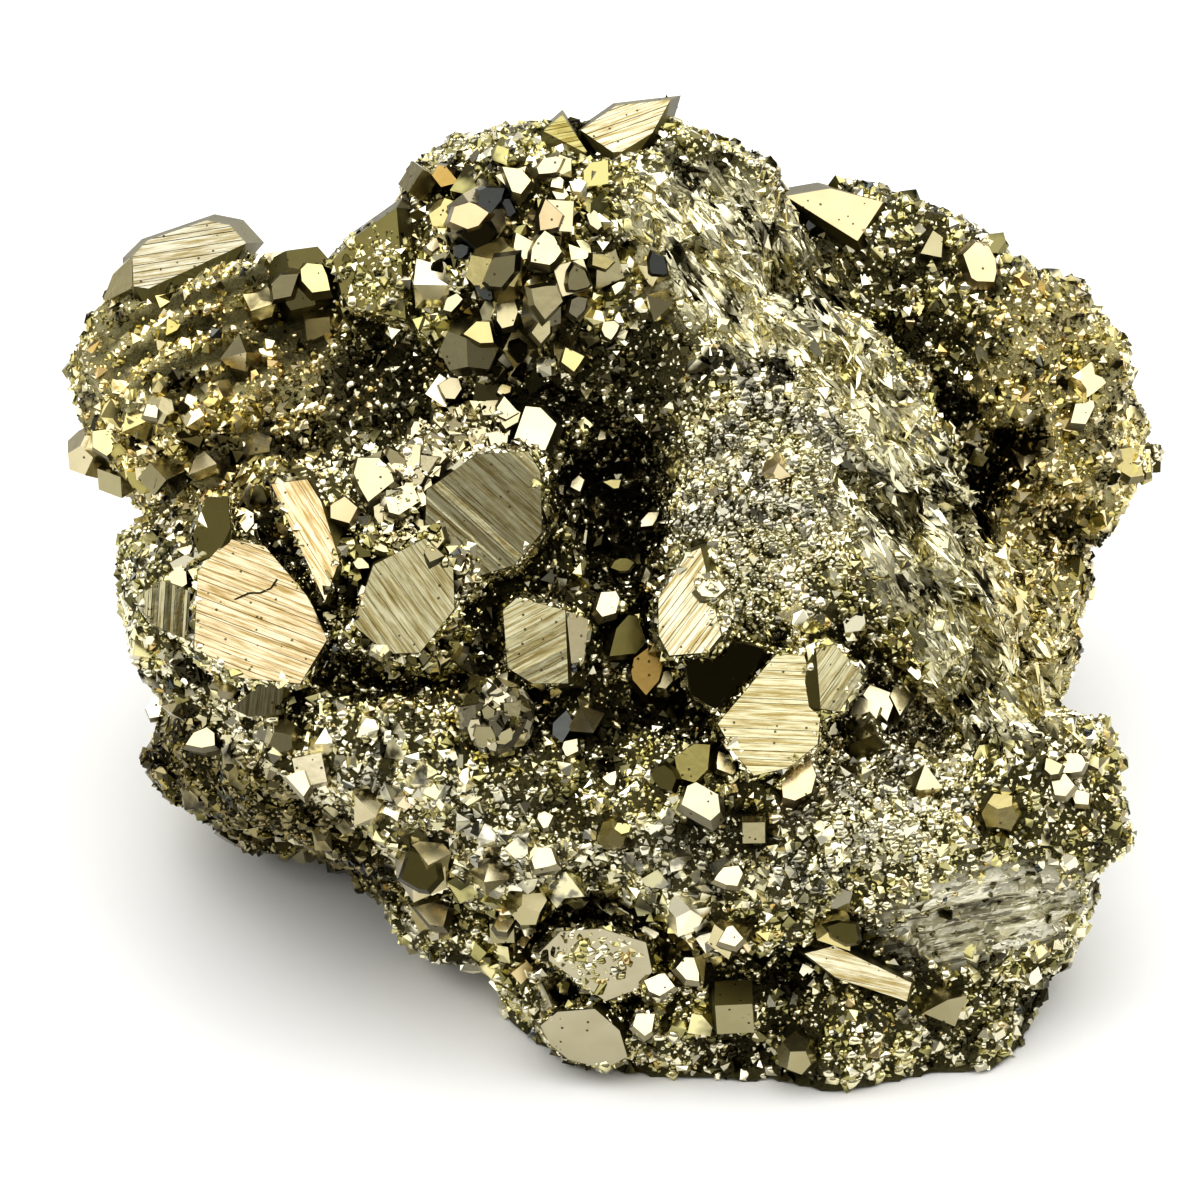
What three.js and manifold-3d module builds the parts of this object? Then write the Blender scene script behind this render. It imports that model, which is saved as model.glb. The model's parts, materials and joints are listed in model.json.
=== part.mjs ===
// Pyrite specimen: one intergrown piece, a lumpy granular mass set with flat-faced brassy crystals,
// broken off flat underneath where it rests. Millimetres, +Z up, origin under the middle of its box.
//
// Places are given on the display face, the side that the specimen is shown from: x to the right,
// y up the face and z out of it, from the middle of the face. The face leans back by DISPLAY_LEAN.
import * as THREE from 'three';
import { ConvexGeometry } from 'three/addons/geometries/ConvexGeometry.js';
import { MeshSurfaceSampler } from 'three/addons/math/MeshSurfaceSampler.js';
import { SimplexNoise } from 'three/addons/math/SimplexNoise.js';
import { mergeVertices } from 'three/addons/utils/BufferGeometryUtils.js';
import Module from 'manifold-3d';

// Driving dimensions
const DISPLAY_LEAN = 50; // degrees from upright, so the face looks up at 40 degrees
const FOOT_LEVEL = -30; // height of the broken underside, from the middle of the display face
const FACET = 3.9; // length of a facet's edge on the granular mass
const BLOCKINESS = 2.5; // 2 gives round lumps and more gives flatter sides
const BULGE = { height: 1.5, spacing: 9 };
const KNOBBLE = { height: 1.1, spacing: 4.4 };
const SEED = 11;

// The lumps that the granular mass is made of: middle, half-sizes and turn about z in degrees
const LUMPS = {
  core: { at: [-0.7, -3.5, -19], half: [26.5, 17, 15], turn: -8 },
  crown: { at: [-0.4, 20.8, -16], half: [14, 10.4, 12], turn: -6 },
  flank: { at: [12.6, 7.9, -13], half: [18, 9.6, 12], turn: -52 },
  shoulderBlock: { at: [11.2, 3.9, -9], half: [9, 10, 9], turn: -20 },
  ledgeLeft: { at: [-10.2, -11.5, -10], half: [14.5, 7, 11], turn: -17 },
  ledgeRight: { at: [11.8, -14.9, -10], half: [18, 7.6, 11], turn: -6 },
  ledgeCorner: { at: [24.8, -19.7, -12], half: [7.5, 5.5, 8], turn: 20 },
  rightKnob: { at: [26.8, -12.9, -9], half: [7, 7, 8], turn: 0 },
  footLeft: { at: [5, -24.7, -17], half: [12.6, 8, 10], turn: -11 },
  footRight: { at: [16, -25.7, -17], half: [11.6, 8.2, 10], turn: -2 },
  instep: { at: [-7.5, -18, -17], half: [9, 5.5, 9], turn: -28 },
  lowerLeft: { at: [-19.2, -9.9, -21], half: [11, 7.2, 10], turn: -13 },
  leftShoulder: { at: [-21.8, 0.1, -13], half: [9.6, 8.6, 10], turn: 0 },
  rim: { at: [-14.7, 5.6, -6.5], half: [6.5, 3.5, 6.5], turn: 25 },
  leftLobe: { at: [-24.7, 13.5, -20], half: [9.4, 9, 9], turn: 10 },
  saddle: { at: [-14.2, 12.1, -19], half: [9, 9, 10], turn: 0 },
  rightLobe: { at: [28, 13.2, -24], half: [6.4, 9.4, 9], turn: 14 },
  rightLobeFoot: { at: [25.4, 0.6, -26], half: [5.6, 9, 8], turn: 0 },
  rightCrest: { at: [19.9, 20.2, -25], half: [10.5, 6, 8], turn: -18 },
  nape: { at: [1.8, 12.1, -27], half: [24, 8.5, 9], turn: 0 },
  back: { at: [-0.7, 1.1, -28], half: [25.5, 16, 11], turn: -6 },
  heel: { at: [-2.2, -13.7, -28], half: [21, 9, 9], turn: -12 },
};

// Hollows in the mass, given like the lumps
const HOLLOWS = {
  cavity: { at: [0.6, 6.6, -3], half: [3.6, 5.8, 12], turn: 10 },
  cleft: { at: [25.3, 7, -15], half: [1.3, 5.5, 10], turn: -4 },
};

// Large crystals of the display face. Each has the outline of its main face, how far out the middle
// of that face stands, how many degrees the face leans right and up, and how far back it goes.
const FACES = {
  paleBlade: {
    outline: [
      [-24.2, 4], [-21.8, 3.5], [-18.9, 0.1], [-17.8, -2.5], [-19.5, -5.3],
      [-23.4, -4.9], [-26.3, -2.9], [-26.1, 1.9],
    ],
    out: 0, lean: [0, 20], deep: 8,
  },
  leftHexagon: {
    outline: [
      [-14.8, 2.3], [-11.5, 4], [-9.7, 2.3], [-9.6, -0.5], [-11.8, -3.3],
      [-13.9, -3.4], [-16.1, -1.5],
    ],
    out: 1.5, lean: [-4, 8], deep: 8,
  },
  upperHexagon: {
    outline: [
      [-11.4, 7.1], [-8.2, 9.4], [-4.9, 9.6], [-4.1, 8.3], [-4, 4.4],
      [-5.8, 2.3], [-8.4, 1.5], [-11.5, 4.4],
    ],
    out: -0.5, lean: [4, 2], deep: 8,
  },
  middleDrum: {
    outline: [
      [-6.5, -0.5], [-5.6, 0.2], [-2.5, -0.6], [-2.3, -5.3], [-4.6, -5.3],
      [-6.2, -4.3],
    ],
    out: -1, lean: [-6, 6], deep: 7,
  },
  middleDrumSide: {
    outline: [[-2.5, -0.6], [-1, -1.2], [-1.3, -3.9], [-2.4, -5.3]],
    out: -1.2, lean: [22, 4], deep: 6,
  },
  crescent: {
    outline: [
      [3.5, 0.1], [5.3, 3], [6.2, 3.4], [6, 0.5], [7.5, -2.2],
      [6.6, -3.3], [4.2, -3.5], [3.5, -2.2],
    ],
    out: 1.6, lean: [-8, 16], deep: 6,
  },
  darkHexagon: {
    outline: [
      [5.2, -4], [6.3, -3], [8.9, -2.7], [10.3, -3.1], [8.9, -6.2],
      [7.4, -7.1], [5.6, -6],
    ],
    out: -1, lean: [3, -4], deep: 6,
  },
  ribbedBlade: {
    outline: [
      [10.9, -3.6], [12.8, -3.3], [13.9, -7.2], [13.7, -9.2], [11.8, -10.7],
      [9.6, -11.2], [8.4, -9.8], [7.3, -7.9],
    ],
    out: 1, lean: [2, 13], deep: 7,
  },
  rightWedge: {
    outline: [[13.6, -3.1], [14.8, -2.8], [16.6, -4.8], [15.1, -7.1], [13.9, -6.9]],
    out: 1.2, lean: [6, 7], deep: 6,
  },
  leaningPlate: {
    outline: [
      [-21.4, 7.5], [-19.1, 7.8], [-18.2, 6.4], [-17, 2.6], [-17.9, 0],
      [-18.8, 2.3],
    ],
    out: 0.3, lean: [-14, 22], deep: 7,
  },
  shadedChip: {
    outline: [
      [-26.4, 4.2], [-25.6, 6.6], [-24.2, 6.6], [-24, 4.7], [-24.8, 3],
      [-26, 2.6],
    ],
    out: -1.5, lean: [-10, -2], deep: 6,
  },
  leftEdgeChip: {
    outline: [[-30.2, 0.2], [-28.4, 1.3], [-26.6, 0.6], [-26.8, -2.5], [-29.1, -1.5]],
    out: -2.5, lean: [-20, 0], deep: 6,
  },
  ribbedTriangle: {
    outline: [[-23.9, -6.9], [-21.5, -4.8], [-20.6, -5.5], [-20.8, -7.3], [-22.9, -7.4]],
    out: -0.5, lean: [4, -6], deep: 6,
  },
  greyPlate: {
    outline: [
      [-4.2, -22.7], [-2.8, -21.3], [-0.2, -21.1], [2.7, -22], [3.1, -23.9],
      [2.2, -25], [0.1, -25.8], [-2.3, -23.9],
    ],
    out: -5, lean: [-4, -24], deep: 7,
  },
  footFace: {
    outline: [
      [-4.1, -27.4], [-3, -26.5], [-0.6, -26.3], [1, -27.7], [1.5, -29.4],
      [0.1, -30.2], [-2.3, -29.6], [-3.5, -28.6],
    ],
    out: -7, lean: [-6, -30], deep: 8,
  },
  ribbedBar: {
    outline: [[12.9, -22.7], [14.8, -22.2], [19.8, -24.6], [19.5, -25.8], [15, -24.3]],
    out: -4, lean: [4, -28], deep: 7,
  },
  lobeCap: {
    outline: [
      [-30.6, 22.4], [-29.6, 23.4], [-25.8, 24.7], [-24.3, 24.4], [-23.2, 23.2],
      [-26, 21.9], [-29.2, 20.2], [-30.5, 20.4],
    ],
    out: -16, lean: [-6, 26], deep: 8,
  },
  lobeCapSide: {
    outline: [
      [-30.6, 22.4], [-30.5, 20.8], [-31, 19.6], [-31.9, 18.8], [-32.6, 19.4],
      [-31.9, 21.2],
    ],
    out: -17, lean: [-38, 8], deep: 8,
  },
  saddleFace: {
    outline: [
      [-17.5, 22], [-16.1, 23.5], [-13.4, 25.4], [-13.3, 23.2], [-12.8, 18.2],
      [-16.8, 19.2],
    ],
    out: -9, lean: [-24, 4], deep: 8,
  },
  crestFace: {
    outline: [
      [11.8, 26.3], [14.7, 26.8], [19.3, 25.6], [22, 23.6], [21.9, 22.3],
      [16.4, 23.4],
    ],
    out: -18, lean: [4, 24], deep: 8,
  },
  peakBar: {
    outline: [[-5, 29.4], [-2.7, 31.4], [-1.1, 29], [-2.2, 28.3]],
    out: -8, lean: [-4, 10], deep: 7,
  },
  peakFace: {
    outline: [[-1.5, 30.4], [0.8, 32], [4.3, 32.4], [3.1, 30.2], [0.8, 28.8]],
    out: -9, lean: [0, 26], deep: 7,
  },
};

// Single crystals standing on the display face: x, y and size
const STUDS = {
  crown: [
    [-8.1, 24.5, 4.6], [-3.1, 24.5, 3.4], [-3.9, 22.5, 3], [-6.7, 21.3, 4.4], [-2.1, 20.6, 3.4],
    [0.1, 21.3, 2.8], [-3.8, 18.7, 3.4], [-1.5, 19, 2.4], [-5.7, 16.4, 2.8], [-8.6, 16.4, 4.4],
    [-2.2, 16.1, 2.2], [-5.7, 27, 2.8], [-3, 27.7, 2.4], [-7.3, 26, 2.8], [3.3, 21.3, 2.4],
    [-10.2, 24.8, 2.4], [-11.8, 27, 3], [3.6, 19, 2.4],
  ],
  cavityEdge: [
    [-4.6, 11, 3.6], [-7.3, -7.3, 5.4], [-1.2, -7.8, 2.6], [3.8, -5.2, 2.2], [16.8, -8.6, 3],
    [-14.8, 8.2, 3],
  ],
  leftLobe: [
    [-33.4, 9.6, 3.4], [-31.6, 8.2, 3], [-30.1, 11.6, 2.8], [-28.7, 12.3, 2.2], [-28.8, 8.1, 2.6],
    [-23.4, 15.8, 2.8], [-19.5, 20.7, 5], [-18.6, 18, 2.6], [-25.6, 8.6, 2.8], [-22.4, 9.8, 2.4],
  ],
  ledge: [
    [-18.8, -11, 3.2], [-15, -13.4, 2.8], [-20.6, -8.8, 2.6], [-11.2, -16.4, 3], [-7.4, -17.6, 2.6],
    [0.6, -15, 2.2], [9.6, -14.6, 2.4], [20.5, -11.8, 2.6], [25.6, -13.6, 2.8],
  ],
  foot: [
    [-11.8, -17.3, 4], [-11.2, -20.2, 3], [-5, -19.5, 3], [-6.6, -21, 2.6], [5.5, -23.7, 2.8],
    [3.6, -24.9, 2.8], [8.1, -21.5, 3], [14.8, -21, 3.4], [12.6, -29.2, 3], [8.4, -26.2, 4],
    [22, -26, 3], [2.8, -27.4, 2.4],
  ],
};

// Crystals scattered over the sides and back, where the surface turns away from the display side
const SCATTER = { count: 36, size: [3, 6.5], facing: -0.55 };
const PROUD = 0.05; // share of a small crystal's half-size that its middle stands out of the surface
const FLARE = 1.25; // how much wider a large crystal is at its back than at its main face
const CLEAR = 100; // farther out than any part of the specimen

const wasm = await Module();
wasm.setup();

// A repeatable random number from 0 to 1
function randomFrom(seed) {
  let state = seed >>> 0;
  return () => {
    state = (Math.imul(state, 1664525) + 1013904223) >>> 0;
    return state / 2 ** 32;
  };
}

const random = randomFrom(SEED);
const noise = new SimplexNoise({ random });
const radians = THREE.MathUtils.degToRad;

// A closed geometry as a solid that can be joined and cut
function solidOf(geometry) {
  geometry.deleteAttribute('normal');
  geometry.deleteAttribute('uv');
  const merged = mergeVertices(geometry);
  return new wasm.Manifold(
    new wasm.Mesh({
      numProp: 3,
      vertProperties: merged.attributes.position.array,
      triVerts: new Uint32Array(merged.index.array),
    }),
  );
}

function geometryOf(solid) {
  const mesh = solid.getMesh();
  const geometry = new THREE.BufferGeometry();
  geometry.setAttribute('position', new THREE.BufferAttribute(mesh.vertProperties, 3));
  geometry.setIndex(new THREE.BufferAttribute(mesh.triVerts, 1));
  return geometry;
}

function bumpAt(point, { height, spacing }) {
  return height * noise.noise3d(point.x / spacing, point.y / spacing, point.z / spacing);
}

// A blunt ellipsoid of even facets, roughened by noise that runs on from lump to lump
function lump({ at, half, turn }) {
  const middle = new THREE.Vector3(...at);
  const size = new THREE.Vector3(...half);
  const meanHalf = (size.x + size.y + size.z) / 3;
  const geometry = new THREE.IcosahedronGeometry(1, Math.round(meanHalf / FACET));
  const position = geometry.getAttribute('position');
  const axis = new THREE.Vector3(0, 0, 1);
  const point = new THREE.Vector3();
  const outward = new THREE.Vector3();
  for (let i = 0; i < position.count; i++) {
    outward.fromBufferAttribute(position, i);
    const spread = outward.toArray().reduce((sum, part) => sum + Math.abs(part) ** BLOCKINESS, 0);
    point.copy(outward).divideScalar(spread ** (1 / BLOCKINESS)).multiply(size);
    outward.divide(size).normalize();
    point.applyAxisAngle(axis, radians(turn)).add(middle);
    outward.applyAxisAngle(axis, radians(turn));
    point.addScaledVector(outward, bumpAt(point, BULGE) + bumpAt(point, KNOBBLE));
    position.setXYZ(i, point.x, point.y, point.z);
  }
  return solidOf(geometry);
}

// A crystal with one large face on the display side, widening towards its root
function largeCrystal({ outline, out, lean, deep }) {
  const middle = new THREE.Vector2();
  for (const [x, y] of outline) middle.add(new THREE.Vector2(x, y).divideScalar(outline.length));
  const slopeRight = Math.tan(radians(lean[0]));
  const slopeUp = Math.tan(radians(lean[1]));
  const points = [];
  for (const [x, y] of outline) {
    const right = x - middle.x;
    const up = y - middle.y;
    const z = out - slopeRight * right - slopeUp * up;
    points.push(new THREE.Vector3(x, y, z));
    points.push(new THREE.Vector3(middle.x + FLARE * right, middle.y + FLARE * up, z - deep));
  }
  return solidOf(new ConvexGeometry(points));
}

// Pyrite's own twelve-faced form: a cube's corners, with two more points over each side of the cube
function pyritohedron() {
  const points = [];
  const half = 0.58; // of the cube's side, so that the form reaches about 1 from its middle
  const roof = { height: 1.5 * half, length: 0.75 * half };
  for (const a of [-1, 1]) {
    for (const b of [-1, 1]) {
      for (const c of [-1, 1]) points.push(new THREE.Vector3(a, b, c).multiplyScalar(half));
      const up = a * roof.height;
      const along = b * roof.length;
      points.push(new THREE.Vector3(0, along, up));
      points.push(new THREE.Vector3(along, up, 0));
      points.push(new THREE.Vector3(up, 0, along));
    }
  }
  return new ConvexGeometry(points);
}

// The habits of the small crystals, each reaching about 1 from its middle
const HABITS = [
  pyritohedron,
  () => new THREE.BoxGeometry(1.2, 1.2, 1.2),
  () => new THREE.OctahedronGeometry(1.05),
];

// A small crystal of one of the habits, turned its own way, half in and half out of the surface
function smallCrystal(place, normal, size, habit) {
  const reach = size / 2;
  const turn = new THREE.Euler(...[0, 0, 0].map(() => 2 * Math.PI * random()));
  const middle = place.clone().addScaledVector(normal, PROUD * reach);
  const geometry = HABITS[habit % HABITS.length]().scale(reach, reach, reach);
  geometry.applyMatrix4(new THREE.Matrix4().makeRotationFromEuler(turn));
  return solidOf(geometry.translate(middle.x, middle.y, middle.z));
}

const join = (whole, piece) => whole.add(piece);
const hollows = Object.values(HOLLOWS).map(lump).reduce(join);
const mass = Object.values(LUMPS).map(lump).reduce(join).subtract(hollows);
const crystals = Object.values(FACES).map(largeCrystal);

const surface = new THREE.Mesh(geometryOf(mass).toNonIndexed());
surface.geometry.computeVertexNormals();
const inward = new THREE.Vector3(0, 0, -1);
for (const [index, [x, y, size]] of Object.values(STUDS).flat().entries()) {
  const ray = new THREE.Raycaster(new THREE.Vector3(x, y, CLEAR), inward);
  const [hit] = ray.intersectObject(surface);
  if (hit) crystals.push(smallCrystal(hit.point, hit.face.normal, size, index));
}
const sampler = new MeshSurfaceSampler(surface).setRandomGenerator(random).build();
const place = new THREE.Vector3();
const normal = new THREE.Vector3();
for (let index = 0; index < SCATTER.count; index++) {
  do sampler.sample(place, normal);
  while (normal.z > SCATTER.facing);
  const size = THREE.MathUtils.lerp(SCATTER.size[0], SCATTER.size[1], random() ** 2);
  crystals.push(smallCrystal(place, normal, size, index));
}
const cluster = crystals.reduce(join, mass);

const leaning = geometryOf(cluster).rotateX(radians(DISPLAY_LEAN));
const ground = new THREE.BoxGeometry(CLEAR, CLEAR, CLEAR).translate(0, 0, FOOT_LEVEL - CLEAR / 2);
const standing = geometryOf(solidOf(leaning).subtract(solidOf(ground)));
standing.computeBoundingBox();
const { min, max } = standing.boundingBox;

const pyrite = new THREE.Mesh(
  standing,
  new THREE.MeshStandardMaterial({ color: 0xc9b77a, roughness: 0.25, metalness: 1 }),
);
pyrite.name = 'pyrite_cluster';
pyrite.position.set(-(min.x + max.x) / 2, -(min.y + max.y) / 2, -min.z);

const group = new THREE.Group();
group.add(pyrite);
export default group;
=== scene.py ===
import json
import math

import bmesh
import bpy
import numpy as np
from mathutils import Matrix, Vector
from mathutils.bvhtree import BVHTree

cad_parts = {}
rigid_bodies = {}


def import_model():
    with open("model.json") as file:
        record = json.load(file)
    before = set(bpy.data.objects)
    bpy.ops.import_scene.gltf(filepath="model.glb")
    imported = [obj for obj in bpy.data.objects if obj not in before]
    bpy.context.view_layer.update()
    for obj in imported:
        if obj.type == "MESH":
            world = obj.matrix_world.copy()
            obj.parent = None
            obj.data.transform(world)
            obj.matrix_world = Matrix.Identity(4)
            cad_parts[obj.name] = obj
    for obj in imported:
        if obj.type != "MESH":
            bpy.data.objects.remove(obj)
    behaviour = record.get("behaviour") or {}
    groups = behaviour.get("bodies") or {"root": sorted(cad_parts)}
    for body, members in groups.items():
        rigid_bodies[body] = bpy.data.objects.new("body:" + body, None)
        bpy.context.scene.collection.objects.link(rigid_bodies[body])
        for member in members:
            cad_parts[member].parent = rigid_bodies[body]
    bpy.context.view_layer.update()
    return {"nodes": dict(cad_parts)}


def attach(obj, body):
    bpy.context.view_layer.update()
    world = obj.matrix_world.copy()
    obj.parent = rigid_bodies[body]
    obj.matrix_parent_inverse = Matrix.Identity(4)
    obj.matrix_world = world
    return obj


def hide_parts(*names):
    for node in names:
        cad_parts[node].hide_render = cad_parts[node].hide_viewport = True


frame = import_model()

# Driving dimensions. The shapes are made in millimetres, and finished meshes are scaled to metres.
MM = 0.001
NODE = "pyrite_cluster"
SEED = 5
GOLDEN_ANGLE = math.pi * (3 - math.sqrt(5))

# The display face leans back from the upright. A place on it is (right, up), and out is towards the viewer.
DISPLAY_LEAN = math.radians(50)
FACE_CENTRE = Vector((-0.69, -13.17, 30.0))
RIGHT = Vector((1, 0, 0))
UP = Vector((0, math.cos(DISPLAY_LEAN), math.sin(DISPLAY_LEAN)))
OUT = RIGHT.cross(UP)
# Lines of sight start this far out.
SIGHT_START = 60

# The camera looks straight at the display face, from far away with a long lens.
CAMERA_DISTANCE = 1.6
CAMERA_AIM = (-0.26, 0.06)
PICTURE_WIDTH = 77.07
SENSOR = 36.0
EXPOSURE = 0.22
CONTRAST = "Medium High Contrast"

# Studio, in metres. A soft box has a place, a width, a height and a brightness.
SOFT_BOXES = {
    "overhead": ((0.0, 0.05, 0.75), 1.6, 1.2, 0.97),
    "left box": ((-0.8, -0.3, 0.5), 0.45, 0.7, 1.6),
    "right box": ((0.9, 0.0, 0.45), 0.35, 0.7, 1.6),
    "behind": ((0.1, 1.0, 0.5), 0.9, 0.4, 1.6),
}
LIGHT_AIM = (0, 0, 0.025)
BACKDROP = (0.9, 0.9, 0.9, 1)
SKY = [(0.0, (0.05, 0.05, 0.05, 1)), (0.64, (0.43, 0.424, 0.4, 1)), (1.0, BACKDROP)]
FLOOR_HALF = 4.0
FLOOR = {"Base Color": (0.9, 0.9, 0.89, 1), "Roughness": 0.7}

# Ground mass
VOXEL = 0.46
DRUSE_ROOM = 0.35
LUMPS = {"height": 0.9, "size": 2.8}
KNOBS = {"height": 0.55, "size": 1.3, "level": 0.45}
KNOBS_LOST = {"fibre": 0.8, "layers": 0.6}
BOULDERS = {"height": 2.2, "size": 5.0, "level": 0.5}
STREAKS = {"height": 0.8, "across": 0.7, "along": 6.0, "angle": -52}
PLATES = {"slope": 1.0, "size": 4.2}
LAYERS = {"height": 0.6, "across": 1.1, "angle": 12}
BANDS = {"height": 0.7, "across": 2.0, "angle": 27}
STRIPES = {"sway": 1.5, "length": 2.3, "edge": (-0.3, 0.5), "least": 0.1}
# The length of one wave of the wave texture at scale 1
WAVE_LENGTH = 0.314
WAVE_BEND = {"Distortion": 4.0, "Detail": 2.0, "Detail Scale": 0.6}
UNDERCUT = 0.45
UNDER_CRYSTAL = (0.7, 0.15)
BASE_EDGE = (0.6, 0.2)
HOLLOW_DEPTH = 0.8
RECESS = {"rounds": 80, "depth": (-0.1, 1.0)}

# Soft limits: edges of patches, faces to the front, sides of crystals, the upper half, rings of crust
PATCH_EDGE = (1.25, 0.65)
FRONT = (-0.45, 0.05)
SIDES = (0.75, 0.5)
UPPER = (-1.0, 0.5)
RING_INNER = (-0.1, 0.3)
RING_FADE = 0.5

# How large crystals are found in the solid
MERGE = 0.001
UNDERSIDE = -0.999
CREASE = math.radians(-0.6)
SHARP = math.radians(50)
BLUNT = math.radians(4)
FLAT = math.radians(2)
SHARP_EDGES = 3
CONVEX_SLACK = 0.1
ROOT_DEPTH = 1.6

# Finishes, as linear colours
CREAM = (0.89, 0.84, 0.63, 1)
PEACH = (0.90, 0.77, 0.53, 1)
GOLD = (0.79, 0.72, 0.39, 1)
OLIVE = (0.43, 0.395, 0.17, 1)
BRONZE = (0.60, 0.43, 0.16, 1)
STRAW = (0.79, 0.745, 0.51, 1)
STONE = (0.53, 0.505, 0.34, 1)
SILVER = (0.78, 0.75, 0.60, 1)
STEEL = (0.14, 0.155, 0.17, 1)
# Near black: the colour of dark marks such as pits and the crack, and also painted shade where recesses,
# hollows and dim patches are darkened
BLACK_AND_SHADE = (0.035, 0.03, 0.014, 1)
SHADE = (0.22, 0.19, 0.1, 1)
CLOUD_TINT = (0.55, 0.5, 0.32, 1)
THREAD_BROWN = (0.5, 0.41, 0.22, 1)
WARM_TINT = (1.0, 0.91, 0.7, 1)
DRUSE_TONES = [
    (0.0, STEEL), (0.02, BLACK_AND_SHADE), (0.1, OLIVE), (0.3, OLIVE), (0.45, GOLD), (0.7, CREAM), (0.96, CREAM),
    (1.0, BRONZE),
]

# How far each zone changes the colour of the druse and of the ground mass
# The recess, hollow, dim and shade zones paint shade, and the bright zone paints highlights
DRUSE_SHARES = {
    "fibre": 0.6, "recess": 0.8, "hollow": 0.6, "dim": 0.8, "sugar": 0.4, "shards": 0.35, "bright": 0.75,
    "warm": 0.7, "shade": 0.9,
}
MASS_SHARES = {"recess": 0.8, "hollow": 0.6, "shade": 0.9}
# Grains below this tone take the painted shade of recesses, hollows and dim patches; the others stay bright
SHADED_GRAIN_TONE = 0.55
PATCHED_TONE = 0.75
SPECKED_TONE = 0.8
OLIVE_CLOUD = 0.25
GOLD_CLOUD = 0.9
TINT_CLOUD = 0.5
STREAK_WANDER = 1.2
DRUSE_ROUGHNESS = {"least": 0.07, "tone": 0.14}
MASS_ROUGHNESS = {"least": 0.16, "cloud": 0.2, "smooth": 0.12}
CRYSTAL_ROUGHNESS = {"least": 0.1, "cloud": 0.1, "pits": 0.3, "dull": 0.35}
MASS_BUMP = {"Strength": 0.9, "Distance": 0.0003}
CRYSTAL_BUMP = {"Strength": 0.25, "Distance": 0.00004}
PITS = {"scale": 1.3, "radius": 0.12, "share": 0.8}
SHEETS = (0.35, 3.2, 1.0)

# Soft patches of the display face: (right, up, half width, half height, turn in degrees)
CLUSTERS = [(-4.8, 21.3, 6.8, 8.0, 0), (-0.3, -21.8, 8.5, 4.6, 0)]
ZONES = {
    # Hollows: dips in the mass, also painted with shade
    "hollow": [
        (0.1, 5.5, 3.2, 5.6, 10), (1.8, -0.6, 2.6, 3.4, 0), (4.0, -6.0, 6.0, 2.2, 0),
        (7.8, -15.0, 3.0, 2.6, 0), (-14.0, 14.5, 4.5, 2.2, 15), (23.8, 8.4, 1.2, 5.0, 0),
    ],
    "sugar": [(10.0, 6.5, 6.5, 9.0, -12), (19.0, -12.1, 5.0, 5.5, 0)],
    "fibre": [
        (20.6, 3.6, 4.2, 11.0, 34), (24.8, -5.0, 5.0, 4.0, -30), (8.8, 21.6, 8.0, 5.0, -35),
        (15.0, 14.5, 3.0, 8.0, 40),
    ],
    "layers": [(24.5, -20.2, 6.8, 3.0, 12)],
    "bands": [(-25.6, 17.6, 8.0, 4.6, 22)],
    # Bright patches: grains painted paler where the surface catches the light, a painted highlight
    "bright": [
        (-10.5, 9.4, 7.0, 2.0, 14), (-17.5, 8.2, 3.0, 1.6, 20), (18.0, -6.6, 2.2, 1.6, 0),
        (29.6, -11.5, 2.0, 2.6, 0), (-21.0, -9.8, 5.0, 1.7, -40), (13.0, -10.8, 1.8, 1.2, 10),
    ],
    "coarse": [*CLUSTERS, (-26.0, 10.3, 8.0, 4.0, 0), (-11.2, -14.7, 8.0, 3.4, -25)],
    "clusters": CLUSTERS,
    "shards": [
        (-8.0, -15.0, 9.0, 3.2, -22), (3.0, -16.5, 9.0, 3.0, 0), (-18.0, -10.5, 7.0, 2.5, -28),
        (12.0, -16.5, 6.0, 2.6, 5),
    ],
    # Painted shade under the overhang at the lower left
    "shade": [(-20.6, -14.6, 10.5, 3.2, -32), (-28.0, -10.0, 3.0, 4.2, 0)],
    # Dim patches: painted shade under the dome and at a few other dark spots
    "dim": [
        (-4.0, 14.6, 7.5, 2.6, 0), (3.2, 15.0, 3.6, 4.0, 0), (-4.5, -12.5, 2.6, 1.6, 0),
        (-17.0, 13.0, 6.0, 3.0, 10),
    ],
    "warm": [(30.0, 8.0, 6.5, 15.0, 0), (-26.0, 14.0, 9.0, 9.0, 0)],
}

# Where grains crust over the large crystals: on their sides, and on the faces
CRUSTED_SIDES = [
    (-13.0, 0.0, 6.5, 6.0, 0), (-7.6, 6.0, 6.0, 6.0, 0), (-4.0, -2.2, 3.5, 3.5, 0), (5.0, -1.2, 3.0, 4.0, 0),
    (-22.0, 0.0, 8.0, 8.0, 0), (11.0, -7.0, 7.0, 6.0, 0), (-0.5, -25.5, 5.0, 6.0, 0),
]
CRUSTED_FACES = [
    (7.3, -0.2, 1.1, 2.6, 18), (-0.8, -22.7, 3.2, 2.2, 0), (-14.0, 20.2, 3.2, 3.8, 30),
    (35.4, 9.3, 1.3, 1.8, 0),
]

# How thickly grains and crystals cover the ground mass, and how far zones thin them out
GRAINS_LOST = {"fibre": 0.85, "layers": 0.92}
CRYSTALS_LOST = {"fibre": 0.7, "hollow": 0.8, "layers": 1.0}
CRYSTALS_LEAST = 0.16
CRYSTALS_ON_SHARDS = 0.4
SPLINTER_COVER = 0.55
POINT_DENSITY = 0.8
STREAK_HOLD = 0.96
SUGAR_ROUNDED = 0.25
# Shapes are picked by a number up to this, counted round and round.
MANY = 99

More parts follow.
